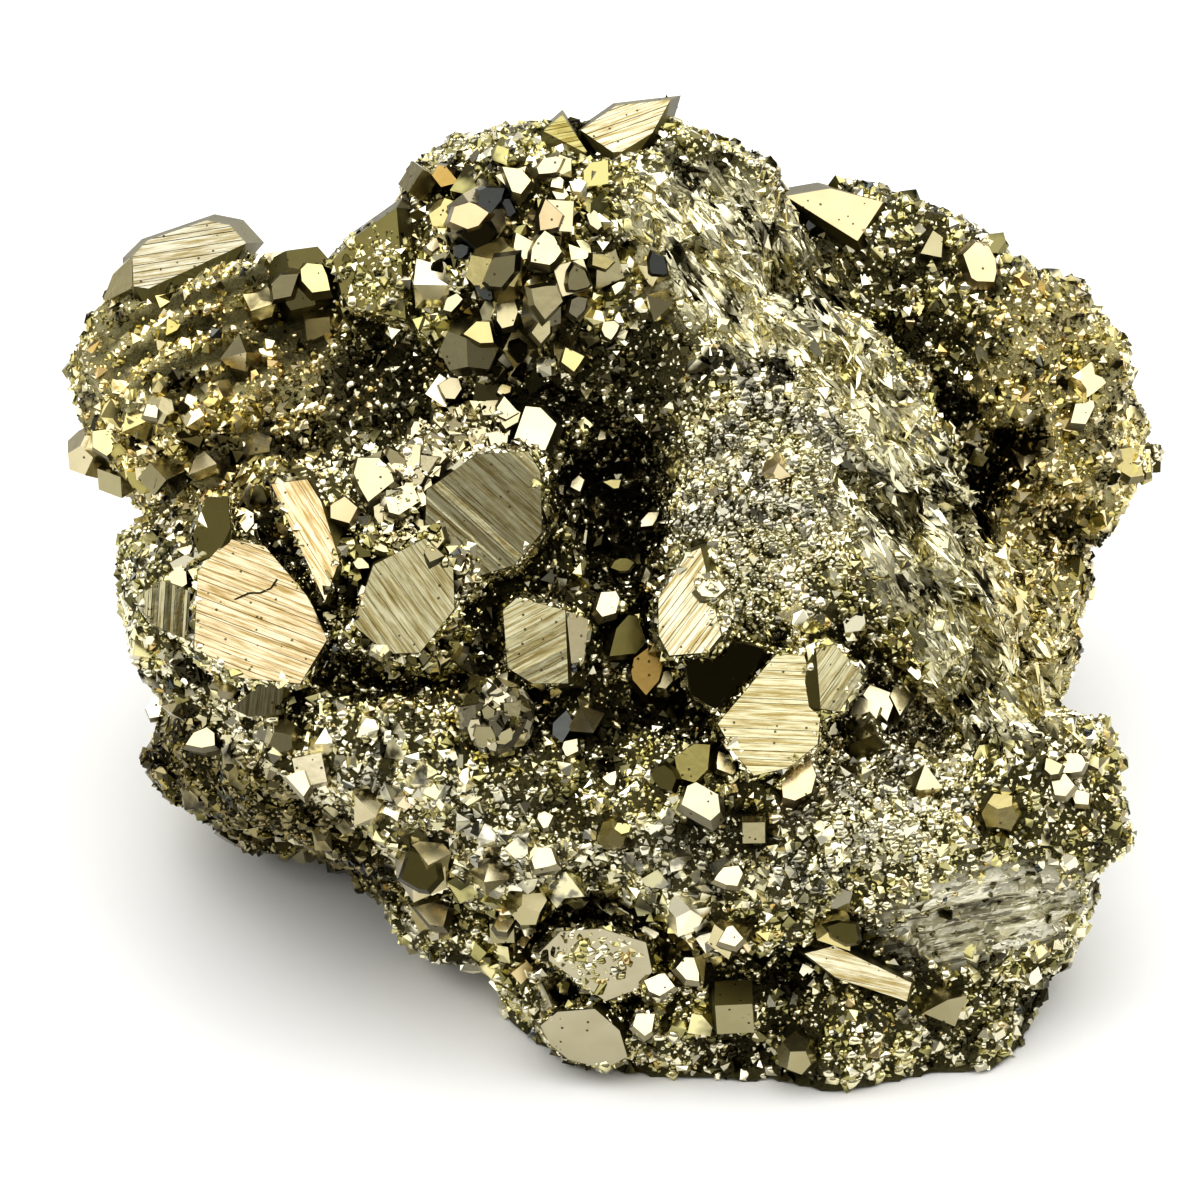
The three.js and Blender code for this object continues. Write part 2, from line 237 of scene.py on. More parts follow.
# Layers of druse: how each kind grows
DRUSE_COLUMNS = ("Cover", "Spacing", "Size Min", "Size Max", "Tilt", "Sink", "Rounded", "Seed")
DRUSE_LAYERS = {
    "upper_druse": ("cover_upper", 0.27, 0.32, 1.3, 3.0, 0.15, 0.5, 11),
    "lower_druse": ("cover_lower", 0.27, 0.32, 1.3, 3.0, 0.15, 0.5, 21),
    "sugar_druse": ("cover_sugar", 0.22, 0.26, 1.1, 3.0, 0.0, 0.5, 71),
    "back_druse": ("cover_back", 0.42, 0.45, 1.4, 3.0, 0.15, 0.5, 31),
    "small_crystals": ("cover_coarse", 0.5, 0.6, 1.8, 1.5, 0.2, 0.0, 41),
    "medium_crystals": ("cover_medium", 0.9, 1.2, 2.3, 3.0, 0.2, 0.0, 81),
    "splinters": ("cover_splinter", 0.2, 0.8, 3.2, 0.12, 0.0, 0.0, 51),
    "crystal_crust": ("cover_crust", 0.27, 0.32, 1.3, 3.0, 0.15, 0.5, 61),
}

# Crystals that stand out: place on the face, direction of the fine ridges, finish, shade, and dullness if any
NAMED_CRYSTALS = {
    "pale blade": ((-22.2, 0.0), -23, PEACH, 0.62),
    "left hexagon": ((-13.4, 0.6), -54, STONE, 0.66),
    "upper hexagon": ((-7.6, 6.0), -42, STONE, 0.78),
    "middle drum": ((-4.2, -2.2), 27, STONE, 0.75),
    "ribbed blade": ((11.0, -7.6), -2, STRAW, 0.66),
    "crescent": ((5.0, -1.2), 55, CREAM, 0.7),
    "dark hexagon": ((6.6, -4.8), None, BLACK_AND_SHADE, 1.0),
    "right wedge": ((15.2, -4.6), 55, STONE, 0.8),
    "leaning plate": ((-18.6, 4.4), -58, PEACH, 0.75),
    "shaded chip": ((-25.0, 4.8), None, OLIVE, 0.8),
    "left edge chip": ((-28.4, -0.6), 86, STONE, 0.6),
    "ribbed triangle": ((-21.5, -6.0), 84, STONE, 0.7),
    "grey plate": ((-0.6, -22.8), None, SILVER, 0.8),
    "foot face": ((-0.4, -28.2), None, SILVER, 0.75),
    "ribbed bar": ((16.2, -23.2), -18, CREAM, 1.0),
    "lobe cap": ((-27.6, 22.4), 8, SILVER, 0.62),
    "saddle face": ((-15.0, 21.4), None, OLIVE, 0.42, 0.5),
    "crest face": ((15.0, 25.2), None, PEACH, 0.75),
    "peak bar": ((-2.6, 30.0), 10, OLIVE, 1.0),
    "peak face": ((1.5, 30.6), 24, CREAM, 0.7),
    "cavity cube": ((-4.4, 11.0), None, CREAM, 1.0),
    "right edge cube": ((35.3, 9.3), None, GOLD, 1.0, 0.5),
    "foot cube": ((8.4, -26.8), None, STONE, 0.9, 0.3),
    "saddle crystal": ((-19.2, 20.6), None, GOLD, 0.8, 0.2),
    "glare cube": ((16.8, -8.3), None, SILVER, 0.9),
}

# Smaller crystals seen on the face: right, up, size, lean upwards and to the right, finish, shade
PLACED_CRYSTALS = [
    (-5.7, 27.2, 2.3, 22, 0, CREAM, 0.9), (-5.2, 22.9, 1.9, 18, 4, CREAM, 0.9),
    (-1.7, 20.6, 1.8, 0, 8, STONE, 1), (-1.7, 19, 1.4, 4, 18, SILVER, 0.5), (-3, 27, 1.1, 22, 0, CREAM, 1),
    (-11, 23, 1.2, 18, 10, CREAM, 1), (-10.8, 21.4, 1.1, -10, 0, BLACK_AND_SHADE, 1),
    (-0.1, 21.8, 1.7, 6, 14, GOLD, 0.8), (0.9, 20.2, 1, 22, 0, CREAM, 1), (-5.4, 16, 1.5, -14, 10, BLACK_AND_SHADE, 1),
    (-2.1, 15.6, 1.5, 12, 0, GOLD, 0.9), (-6.5, 13.6, 0.9, 24, 0, CREAM, 1),
    (-9.9, 13.6, 1.6, 15, -10, CREAM, 0.7), (-10.4, 27.4, 2, 8, -14, BRONZE, 0.9),
    (-0.6, 24.6, 1.3, 16, 6, CREAM, 0.8), (-9.8, 19.2, 1.3, 14, -8, CREAM, 0.8),
    (-6.3, 25.4, 1.2, 2, 0, STEEL, 1), (0.4, 17.4, 1.2, 16, 0, CREAM, 0.8), (-4.4, 11, 3, 23, -6, CREAM, 1),
    (34, 9.2, 2.4, 10, 20, GOLD, 0.9), (35.2, 9.2, 1.9, 20, 4, GOLD, 0.9),
    (-8.6, 24.8, 2.4, 12, -6, PEACH, 0.8), (-3.5, 24.7, 2.2, 10, 8, PEACH, 0.75),
    (-7.3, 26, 2.4, 2, 4, STEEL, 1.2), (-8.1, 23.6, 2.2, -8, 0, BLACK_AND_SHADE, 1.6),
    (3.4, 21.6, 1.4, 2, 6, STEEL, 1), (-9.2, 22.6, 1.1, 4, -6, STEEL, 1),
    (-6.7, 21.2, 2.6, -3, -8, STONE, 1), (-3.8, 22.6, 2.4, 17, 4, CREAM, 0.9),
    (-3.8, 19.3, 2.2, 4, 14, STRAW, 0.9), (-3.4, 28, 1.6, 18, 6, CREAM, 0.9),
    (-2.9, 26.4, 1.2, 23, 0, CREAM, 1), (-7.7, 19.8, 1.1, 3, 0, STEEL, 1),
    (-6.2, 18.4, 2.2, 12, -10, STRAW, 0.8), (-4, 17.4, 1.8, 8, 6, STONE, 0.9),
    (-8, 17.2, 1.8, 14, -4, GOLD, 0.8), (6.2, -12.7, 2.8, 20, 0, SILVER, 0.9),
    (5.6, -10.2, 2.6, 7, -8, OLIVE, 1), (3.9, -11.3, 1.8, -4, -16, OLIVE, 0.7),
    (7.8, -10.5, 1.6, 24, 6, CREAM, 1), (0.4, -11.4, 1, 24, 0, CREAM, 1),
    (-3.9, -16.5, 1.7, 20, -8, CREAM, 1), (1.2, -14.6, 1.2, 12, 0, GOLD, 1),
    (-2.2, -9.4, 1.2, 15, -6, CREAM, 0.9), (8, -17.7, 1.6, 20, 0, CREAM, 1),
    (-2.6, -8.1, 2, 8, 10, STEEL, 1), (-3.8, -14, 1.1, 22, 0, CREAM, 1), (17.8, -6.4, 2.8, 20, 4, CREAM, 1),
    (16.7, -6.9, 2.2, 22, 0, CREAM, 1), (19.2, -6.2, 2.2, 21, 8, CREAM, 1),
    (30.2, -10.4, 1.8, 21, 6, CREAM, 1), (29.4, -11.9, 1.9, 19, -4, CREAM, 0.95),
    (30.6, -12.6, 1.5, 22, 8, CREAM, 1), (28.8, -10.6, 1.4, 17, 0, STRAW, 0.9),
    (-24.4, -5.1, 2, 23, 0, CREAM, 1), (-27.3, 1.6, 1.8, 16, -8, CREAM, 0.8),
    (12.4, -11.5, 3.4, 20, 0, PEACH, 1), (6.8, 0.7, 1.7, 23, 8, CREAM, 1),
    (-11.2, -20.2, 2.1, 18, -10, CREAM, 1), (-6.4, -20.8, 1.7, 20, 0, CREAM, 1),
    (5.5, -23.7, 1.7, 18, 8, CREAM, 1), (3.6, -24.7, 1.7, 22, -6, CREAM, 1),
    (2.6, -27.2, 1.5, 20, 6, CREAM, 1), (8.1, -21.5, 1.4, 22, 0, CREAM, 1),
    (-11.8, -17.3, 2.4, -6, -8, OLIVE, 0.6), (15.5, -21.4, 2.4, -2, 0, OLIVE, 0.6),
    (-25.9, -8.9, 2.1, 18, -12, CREAM, 0.9), (-19.5, -11.5, 1.8, 20, -6, CREAM, 1),
    (-29.2, -7, 1.6, 14, -22, SILVER, 1), (24.7, 21.8, 2.6, 16, 8, PEACH, 0.9),
    (13.6, 24.6, 1.6, 4, 0, STEEL, 1), (31.2, 12.3, 2.4, 18, 14, CREAM, 0.9),
    (-29.2, 12.3, 1.1, 22, 0, CREAM, 1), (-32.4, 10.3, 1.8, 10, -16, GOLD, 1),
    (-23.1, 5.2, 1.5, 23, 0, CREAM, 1), (1.6, -2.4, 3, 2, 10, OLIVE, 1), (2.6, -4.4, 3, 6, 0, BRONZE, 0.8),
    (0.2, -0.1, 1.8, 22, 10, CREAM, 1), (3, 5.2, 1.3, 22, 0, CREAM, 1), (-1.7, 7.6, 1, 20, 6, CREAM, 1),
    (-0.2, 10.6, 0.9, 20, 0, CREAM, 1), (1.2, 2.4, 1.4, 4, 8, OLIVE, 1), (0.6, 7.6, 1.1, 8, 0, GOLD, 0.8),
    (-15, 8.1, 3, 16, -6, CREAM, 0.8), (-13.1, 6.6, 2.6, 20, 6, CREAM, 0.9),
    (-10.5, 9.3, 3, 14, 0, SILVER, 0.8), (-8, 10.4, 2.4, 18, 8, CREAM, 0.8),
    (-16.5, 5.9, 2.2, 12, -10, PEACH, 0.8), (-12.6, 9.6, 2, 22, 0, CREAM, 1),
    (-18.6, 20.9, 2.6, 18, 4, GOLD, 1), (-20.6, 20.4, 2.4, 3, -8, STONE, 0.9),
]
PLACED = {
    "sides": (5, 9), "uneven": 0.4, "radius": (0.34, 0.64), "narrow": (0.6, 1.0), "girdle": 1.3,
    "shoulder": 0.3, "root": 0.8, "proud": 0.2, "stand": 0.22, "depth": 0.9,
}

# Rough mantles of crystals that hug a hexagon, a little below its face
MANTLES = [
    {
        "centre": (-12.9, 0.2), "radius": (3.4, 5.0), "angles": (10, 335), "count": 100,
        "crusted": (3.4, 5.0), "crust": 0.6, "size": (0.7, 1.6), "drop": (0.4, 1.5), "lean": 22,
        "finishes": [STRAW, CREAM, STONE, OLIVE], "shade": (0.6, 1.0),
    },
    {
        "centre": (-7.6, 6.0), "radius": (4.3, 6.6), "angles": (76, 200), "count": 110,
        "crusted": (4.3, 6.6), "crust": 0.5, "size": (0.8, 2.0), "drop": (0.1, 1.3), "lean": 16,
        "finishes": [CREAM, CREAM, CREAM, STRAW], "shade": (0.75, 1.0),
    },
]
MANTLE_LEAN = 15
MANTLE_REACH = 2.4

# A ball of grains below the middle drum
BALL = {
    "centre": (-7.0, -7.5), "radius": (2.0, 2.6), "angles": (0, 360), "count": 60,
    "crusted": (-1.0, 2.4), "crust": 0.1, "size": (0.8, 1.7),
    "finishes": [SILVER, SILVER, STONE, STRAW], "shade": (0.6, 1.0),
}

# A hairline crack across the pale blade, as places on the face
CRACK = [(-21.0, 1.4), (-21.4, 0.8), (-22.1, 0.5), (-22.8, 0.5), (-23.9, 0.0)]
CRACK_WIDTH = 0.13

# Shade and dullness of crystals and of their sides
PLAIN_FINISHES = [GOLD, STRAW, STRAW, STRAW, CREAM, CREAM, SILVER, STONE]
PLAIN_SHADE = (0.6, 1.2)
PLAIN_DULL = 0.3
# Sides of named and small crystals are painted darker than their top faces: painted shade
NAMED_SIDE_SHADE = (0.25, 0.6)
SMALL_SIDE_SHADE = (0.22, 0.5)
SMALL_SIDE_DULL = 0.4
SMALL_TOP_DULL = 0.2

# Fine ridges on the striped faces, and the fine lines coloured between them
RIDGES = {"tread": (0.12, 0.7), "riser": 0.04, "slope": (0.01, 0.1), "cut": 1e-4, "level": 0.02}
LINES = {"stretch": 0.06, "start": 50, "same way": 0.9}


# Small tools

def math_operator(operation, swapped=False):
    def combine(self, other):
        first, second = (other, self) if swapped else (self, other)
        return self.nodes.add("ShaderNodeMath", {"operation": operation}, {0: first, 1: second})
    return combine


class Value:
    """One output of a node, with arithmetic that adds Math nodes."""

    def __init__(self, nodes, socket):
        self.nodes = nodes
        self.socket = socket

    def output(self, name):
        return Value(self.nodes, named_socket(self.socket.node.outputs, name))

    __add__ = math_operator("ADD")
    __radd__ = math_operator("ADD", swapped=True)
    __sub__ = math_operator("SUBTRACT")
    __rsub__ = math_operator("SUBTRACT", swapped=True)
    __mul__ = math_operator("MULTIPLY")
    __rmul__ = math_operator("MULTIPLY", swapped=True)
    __truediv__ = math_operator("DIVIDE")
    __rtruediv__ = math_operator("DIVIDE", swapped=True)
    __gt__ = math_operator("GREATER_THAN")
    __lt__ = math_operator("LESS_THAN")


def named_socket(sockets, key):
    ready = [socket for socket in sockets if socket.enabled]
    if isinstance(key, int):
        return ready[key]
    return next(socket for socket in ready if socket.name == key)


class Nodes:
    """Adds nodes to one tree."""

    def __init__(self, tree):
        self.tree = tree

    def add(self, kind, settings=None, sockets=None, out=0):
        node = self.tree.nodes.new(kind)
        for name, value in (settings or {}).items():
            if name == "stops":
                set_stops(node.color_ramp, value)
            else:
                setattr(node, name, value)
        for key, value in (sockets or {}).items():
            self.feed(named_socket(node.inputs, key), value)
        if not node.outputs:
            return node
        return Value(self, named_socket(node.outputs, out))

    def feed(self, socket, value):
        if isinstance(value, Value):
            self.tree.links.new(value.socket, socket)
        else:
            socket.default_value = value


def set_stops(ramp, stops):
    while len(ramp.elements) < len(stops):
        ramp.elements.new(1.0)
    for element, (place, colour) in zip(ramp.elements, stops):
        element.position = place
        element.color = colour


def add_object(name, mesh):
    piece = bpy.data.objects.new(name, mesh)
    bpy.context.scene.collection.objects.link(piece)
    return piece


def apply_modifiers(piece):
    """Turns a piece's evaluated shape into its plain mesh."""
    evaluated = piece.evaluated_get(bpy.context.evaluated_depsgraph_get())
    mesh = bpy.data.meshes.new_from_object(evaluated)
    piece.modifiers.clear()
    old = piece.data
    piece.data = mesh
    bpy.data.meshes.remove(old)


def even_grid(piece):
    """Remeshes a piece on an even grid, and gives its points and normals."""
    remesh = piece.modifiers.new("even grid", "REMESH")
    remesh.mode = "VOXEL"
    remesh.voxel_size = VOXEL
    apply_modifiers(piece)
    return read_vectors(piece.data, "co"), read_vectors(piece.data, "normal")


def hull(points):
    """The closed convex shape around some points, with flat faces left whole."""
    shape = bmesh.new()
    for point in points:
        shape.verts.new(point)
    made = bmesh.ops.convex_hull(shape, input=shape.verts)
    loose = {g for g in made["geom_interior"] + made["geom_unused"] if isinstance(g, bmesh.types.BMVert)}
    bmesh.ops.delete(shape, geom=list(loose), context="VERTS")
    bmesh.ops.dissolve_limit(shape, angle_limit=FLAT, verts=shape.verts, edges=shape.edges)
    bmesh.ops.recalc_face_normals(shape, faces=shape.faces)
    return shape


def to_mesh(shape, name):
    mesh = bpy.data.meshes.new(name)
    shape.to_mesh(mesh)
    shape.free()
    return mesh


def store(mesh, name, values):
    kind, key = ("FLOAT", "value") if values.ndim == 1 else ("FLOAT_VECTOR", "vector")
    attribute = mesh.attributes.new(name, kind, "POINT")
    attribute.data.foreach_set(key, values.astype(np.float32).ravel())


def read_values(mesh, name):
    values = np.zeros(len(mesh.vertices), np.float32)
    mesh.attributes[name].data.foreach_get("value", values)
    return values


def read_vectors(mesh, name):
    values = np.zeros(len(mesh.vertices) * 3, np.float32)
    if name == "co":
        mesh.vertices.foreach_get("co", values)
    else:
        mesh.vertex_normals.foreach_get("vector", values)
    return values.reshape(-1, 3).astype(float)


def move_points(mesh, points):
    mesh.vertices.foreach_set("co", points.astype(np.float32).ravel())


def smooth_step(low, high, values):
    t = np.clip((values - low) / (high - low), 0, 1)
    return t * t * (3 - 2 * t)


def face_point(place):
    return FACE_CENTRE + RIGHT * place[0] + UP * place[1]


def face_direction(angle):
    """A direction along the display face, turned from right towards up."""
    return RIGHT * math.cos(angle) + UP * math.sin(angle)


def seen_at(tree, point):
    """What the viewer sees in line with a point: the place, its normal and the number of the face."""
    return tree.ray_cast(point + OUT * SIGHT_START, -OUT)[:3]


# Large crystals, found in the solid by their convex edges

def merged_solid():
    solid = bmesh.new()
    solid.from_mesh(frame["nodes"][NODE].data)
    bmesh.ops.scale(solid, vec=Vector((1, 1, 1)) / MM, verts=solid.verts)
    bmesh.ops.remove_doubles(solid, verts=solid.verts, dist=MERGE)
    solid.normal_update()
    return solid


def is_underside(face):
    return face.normal.z < UNDERSIDE


def convex_group(start, seen):
    """The faces that join start across flat or convex edges, and the sharp and blunt edges between them."""
    group = []
    waiting = [start]
    sharp = set()
    blunt = set()
    seen.add(start)
    while waiting:
        face = waiting.pop()
        group.append(face)
        for edge in face.edges:
            angle = edge.calc_face_angle_signed()
            if angle < CREASE:
                continue
            neighbour = next(f for f in edge.link_faces if f is not face)
            if is_underside(neighbour):
                continue
            if angle > SHARP:
                sharp.add(edge)
            elif angle > BLUNT:
                blunt.add(edge)
            if neighbour not in seen:
                seen.add(neighbour)
                waiting.append(neighbour)
    return group, sharp, blunt


def is_mostly_sharp(sharp, blunt):
    length = sum(edge.calc_length() for edge in sharp)
    return len(sharp) >= SHARP_EDGES and length > sum(edge.calc_length() for edge in blunt)


def is_convex(group):
    verts = {v for face in group for v in face.verts}
    planes = {tuple(round(c, 2) for c in face.normal): face for face in group}.values()
    if len(planes) < 2:
        return False
    proud = max((v.co - face.verts[0].co).dot(face.normal) for face in planes for v in verts)
    return proud < CONVEX_SLACK


def find_crystals(solid):
    seen = set()
    crystals = []
    for face in solid.faces:
        if face in seen or is_underside(face):
            continue
        group, sharp, blunt = convex_group(face, seen)
        if is_mostly_sharp(sharp, blunt) and is_convex(group):
            crystals.append(group)
    return crystals


def face_tree(groups):
    verts = []
    faces = []
    for face in (f for group in groups for f in group):
        faces.append(tuple(range(len(verts), len(verts) + len(face.verts))))
        verts.extend(v.co.copy() for v in face.verts)
    return BVHTree.FromPolygons(verts, faces)


def crystal_shape(group):
    """A closed crystal: the group's corners, with its lower rim carried down into the mass."""
    inside = set(group)
    rim = {v for face in group for edge in face.edges for v in edge.verts
           if any(f not in inside for f in edge.link_faces)}
    down = sum((face.normal * face.calc_area() for face in group), Vector()).normalized() * -ROOT_DEPTH
    points = [v.co.copy() for v in {v for face in group for v in face.verts}]
    points += [v.co + down for v in rim]
    return hull(points)


def leaning(lean_up, lean_right):
    """A direction that leans from the view by two angles."""
    normal = OUT + UP * math.tan(math.radians(lean_up)) + RIGHT * math.tan(math.radians(lean_right))
    return normal.normalized()


def small_shape(middle, normal, size, depth, draw):
    """A crystal with a many-sided top face about a middle point, and a root of a given depth."""
    first = (Matrix.Rotation(draw.uniform(0, math.pi), 3, normal) @ normal.orthogonal()).normalized()
    second = normal.cross(first) * draw.uniform(*PLACED["narrow"])
    sides = draw.integers(*PLACED["sides"])
    points = []
    for side in range(sides):
        angle = 2 * math.pi * (side + draw.uniform(-PLACED["uneven"], PLACED["uneven"])) / sides
        radius = size * draw.uniform(*PLACED["radius"])
        arm = first * math.cos(angle) + second * math.sin(angle)
        points.append(middle + arm * radius)
        points.append(middle + arm * radius * PLACED["girdle"] - normal * size * PLACED["shoulder"])
        points.append(middle + arm * radius * PLACED["root"] - normal * depth)
    return hull(points)


def ridge_axes(normal, angle):
    """Directions along and across the ridges, in the plane of a face."""
    along = face_direction(math.radians(angle))
    along = (along - normal * along.dot(normal)).normalized()
    return along, normal.cross(along)


def cut_ridges(shape, face, angle, draw):
    """Cuts a face into fine parallel steps."""
    normal = face.normal.copy()
    across = ridge_axes(normal, angle)[1]
    reach = [v.co.dot(across) for v in face.verts]
    level = normal.dot(face.verts[0].co)
    place = min(reach) + draw.uniform(*RIDGES["tread"])
    lines = []
    treads = []
    pieces = [face]
    riser = False
    while place < max(reach) - RIDGES["riser"]:
        geometry = list({g for f in pieces for g in (f, *f.edges, *f.verts)})
        cut = bmesh.ops.bisect_plane(
            shape, geom=geometry, dist=RIDGES["cut"], plane_co=across * place, plane_no=across)
        pieces = [g for g in cut["geom"] if isinstance(g, bmesh.types.BMFace)]
        lines.append([g for g in cut["geom_cut"] if isinstance(g, bmesh.types.BMVert)])
        riser = not riser
        treads.append(RIDGES["riser"] if riser else draw.uniform(*RIDGES["tread"]))
        place += treads[-1]
    side = 1
    for line, tread in zip(lines, treads):
        height = max(tread, RIDGES["tread"][0]) * draw.uniform(*RIDGES["slope"])
        side = -side
        for vert in line:
            if vert.is_valid and abs(vert.co.dot(normal) - level) < RIDGES["level"]:
                vert.co += normal * height * side


def mark_lines(shape, normal, angle, draw):
    """Gives each face that looks along the normal its place across and along the ridges."""
    layer = shape.loops.layers.float_vector["lines"]
    along, across = ridge_axes(normal, angle)
    start = draw.uniform(0, LINES["start"])
    for face in shape.faces:
        if face.normal.dot(normal) > LINES["same way"]:
            for loop in face.loops:
                place = loop.vert.co
                loop[layer] = (place.dot(across) + start, place.dot(along) * LINES["stretch"], start)


def add_layers(shape):
    shape.loops.layers.float_vector.new("lines")
    return shape.loops.layers.float_color.new("tint")


def paint(face, layer, finish, shade, dull=0.0):
    """Colours a face. The fourth number is its dullness."""
    for loop in face.loops:
        loop[layer] = (*(channel * shade for channel in finish[:3]), dull)


def picked(finishes, draw):
    return finishes[draw.integers(len(finishes))]


def add_to(whole, shape):
    mesh = to_mesh(shape, "crystal")
    whole.from_mesh(mesh)
    bpy.data.meshes.remove(mesh)


def add_crack(whole, tree):
    ends = [seen_at(tree, face_point(place))[:2] for place in CRACK]
    for (start, normal), (end, _) in zip(ends, ends[1:]):
        side = normal.cross(end - start).normalized() * CRACK_WIDTH / 2
        lift = normal * CRACK_WIDTH / 4
        shape = hull([p + s + h for p in (start, end) for s in (side, -side) for h in (lift, -lift)])
        tint = add_layers(shape)
        for face in shape.faces:
            paint(face, tint, BLACK_AND_SHADE, 1.0, 1.0)
        add_to(whole, shape)


def add_small_crystal(whole, middle, normal, size, depth, finish, shade, draw):
    shape = small_shape(middle, normal, size, depth, draw)
    tint = add_layers(shape)
    # Sides painted darker than the top face: painted shade
    for face in shape.faces:
        paint(face, tint, finish, shade * draw.uniform(*SMALL_SIDE_SHADE), SMALL_SIDE_DULL)
    top = max(shape.faces, key=lambda f: f.normal.dot(normal))
    paint(top, tint, finish, shade, SMALL_TOP_DULL)
    add_to(whole, shape)


def add_placed_crystals(whole, tree, draw):
    for right, up, size, lean_up, lean_right, finish, shade in PLACED_CRYSTALS:
        ground = seen_at(tree, face_point((right, up)))[0]
        middle = ground + OUT * (PLACED["proud"] + size * PLACED["stand"])
        depth = size * (PLACED["depth"] + PLACED["stand"])
        add_small_crystal(whole, middle, leaning(lean_up, lean_right), size, depth, finish, shade, draw)


def add_mantle(whole, tree, mantle, draw):
    centre = face_point(mantle["centre"])
    face, normal, _ = seen_at(tree, centre)
    for angle in np.radians(np.linspace(*mantle["angles"], mantle["count"])):
        radius = draw.uniform(*mantle["radius"])
        place = centre + face_direction(angle) * radius
        level = (face - place).dot(normal) / OUT.dot(normal) - draw.uniform(*mantle["drop"])
        ground = (seen_at(tree, place)[0] - place).dot(OUT)
        top = min(max(level, ground + PLACED["proud"]), ground + MANTLE_REACH)
        size = draw.uniform(*mantle["size"])
        finish = picked(mantle["finishes"], draw)
        lean_up, lean_right = draw.uniform(-mantle["lean"], mantle["lean"], 2)
        lean = leaning(lean_up + MANTLE_LEAN, lean_right)
        depth = top - ground + size * PLACED["depth"]
        shade = draw.uniform(*mantle["shade"])
        add_small_crystal(whole, place + OUT * top, lean, size, depth, finish, shade, draw)


def add_ball(whole, tree, ball, draw):
    centre = seen_at(tree, face_point(ball["centre"]))[0]
    for number in range(ball["count"]):
        height = 1 - number / ball["count"]
        flat = math.sqrt(1 - height * height)
        normal = OUT * height + face_direction(number * GOLDEN_ANGLE) * flat
        size = draw.uniform(*ball["size"])
        finish = picked(ball["finishes"], draw)
        radius = draw.uniform(*ball["radius"])
        shade = draw.uniform(*ball["shade"])
        add_small_crystal(whole, centre + normal * radius, normal, size, radius, finish, shade, draw)


def chosen_looks(groups):
    """The looks of the named crystals, by the number of the group that each stands in."""
    tree = face_tree(groups)
    owner = [number for number, group in enumerate(groups) for face in group]
    looks = {}
    for at, *look in NAMED_CRYSTALS.values():
        _, normal, face = seen_at(tree, face_point(at))
        if face is not None:
            looks.setdefault(owner[face], []).append((normal, *look))
    return looks


def add_found_crystal(whole, group, looks, draw):
    shape = crystal_shape(group)
    tint = add_layers(shape)
    if looks:
        # The sides of named crystals are painted dark olive: painted shade
        for face in shape.faces:
            paint(face, tint, OLIVE, draw.uniform(*NAMED_SIDE_SHADE), 1.0)
    else:
        finish = picked(PLAIN_FINISHES, draw)
        for face in shape.faces:
            paint(face, tint, finish, draw.uniform(*PLAIN_SHADE), PLAIN_DULL)
    for normal, ridges, finish, shade, *dull in looks:
        face = max(shape.faces, key=lambda f: f.normal.dot(normal))
        paint(face, tint, finish, shade, *dull)
        if ridges is not None:
            cut_ridges(shape, face, ridges, draw)
            mark_lines(shape, normal, ridges, draw)
    add_to(whole, shape)


def large_crystals(solid, groups, draw):
    whole = bmesh.new()
    add_layers(whole)
    looks = chosen_looks(groups)
    for number, group in enumerate(groups):
        add_found_crystal(whole, group, looks.get(number, []), draw)
    add_crack(whole, face_tree(groups))
    ground = BVHTree.FromBMesh(solid)
    add_placed_crystals(whole, ground, draw)
    for mantle in MANTLES:
        add_mantle(whole, ground, mantle, draw)
    add_ball(whole, ground, BALL, draw)
    bmesh.ops.triangulate(whole, faces=whole.faces)
    return add_object("large_crystals", to_mesh(whole, "large_crystals"))


# Ground mass

def display_places(points):
    axes = np.array([RIGHT, UP, OUT]).T
    return (points - np.array(FACE_CENTRE)) @ axes


def turned(places, angle):
    angle = math.radians(angle)
    u = places[:, 0] * math.cos(angle) + places[:, 1] * math.sin(angle)
    v = places[:, 1] * math.cos(angle) - places[:, 0] * math.sin(angle)
    return np.stack([u, v, places[:, 2]], axis=1)


def patch_weight(places, patch):
    right, up, half_width, half_height, turn = patch
    across, along, _ = turned(places - np.array([right, up, 0]), turn).T
    return smooth_step(*PATCH_EDGE, np.hypot(across / half_width, along / half_height))


def zone_weight(places, patches):
    return np.max([patch_weight(places, patch) for patch in patches], axis=0)


def store_zones(mesh, points, normals):
    places = display_places(points)
    front = smooth_step(*FRONT, normals @ np.array(OUT))
    for zone, patches in ZONES.items():
        store(mesh, zone, zone_weight(places, patches) * front)
    store(mesh, "front", front)
    return places, front


def recess_depth(mesh, points, normals):
    """How far a point lies below the smoothed surface: 0 on open ground, 1 in a deep recess."""
    ends = np.zeros(len(mesh.edges) * 2, np.int32)
    mesh.edges.foreach_get("vertices", ends)
    first, second = ends.reshape(-1, 2).T
    count = np.bincount(ends, minlength=len(points))[:, None]
    smoothed = points.copy()
    for _ in range(RECESS["rounds"]):
        total = np.zeros_like(smoothed)
        for axis in range(3):
            total[:, axis] += np.bincount(first, smoothed[second, axis], len(points))
            total[:, axis] += np.bincount(second, smoothed[first, axis], len(points))
        smoothed = total / count
    depth = np.einsum("ij,ij->i", smoothed - points, normals)
    return smooth_step(*RECESS["depth"], depth)


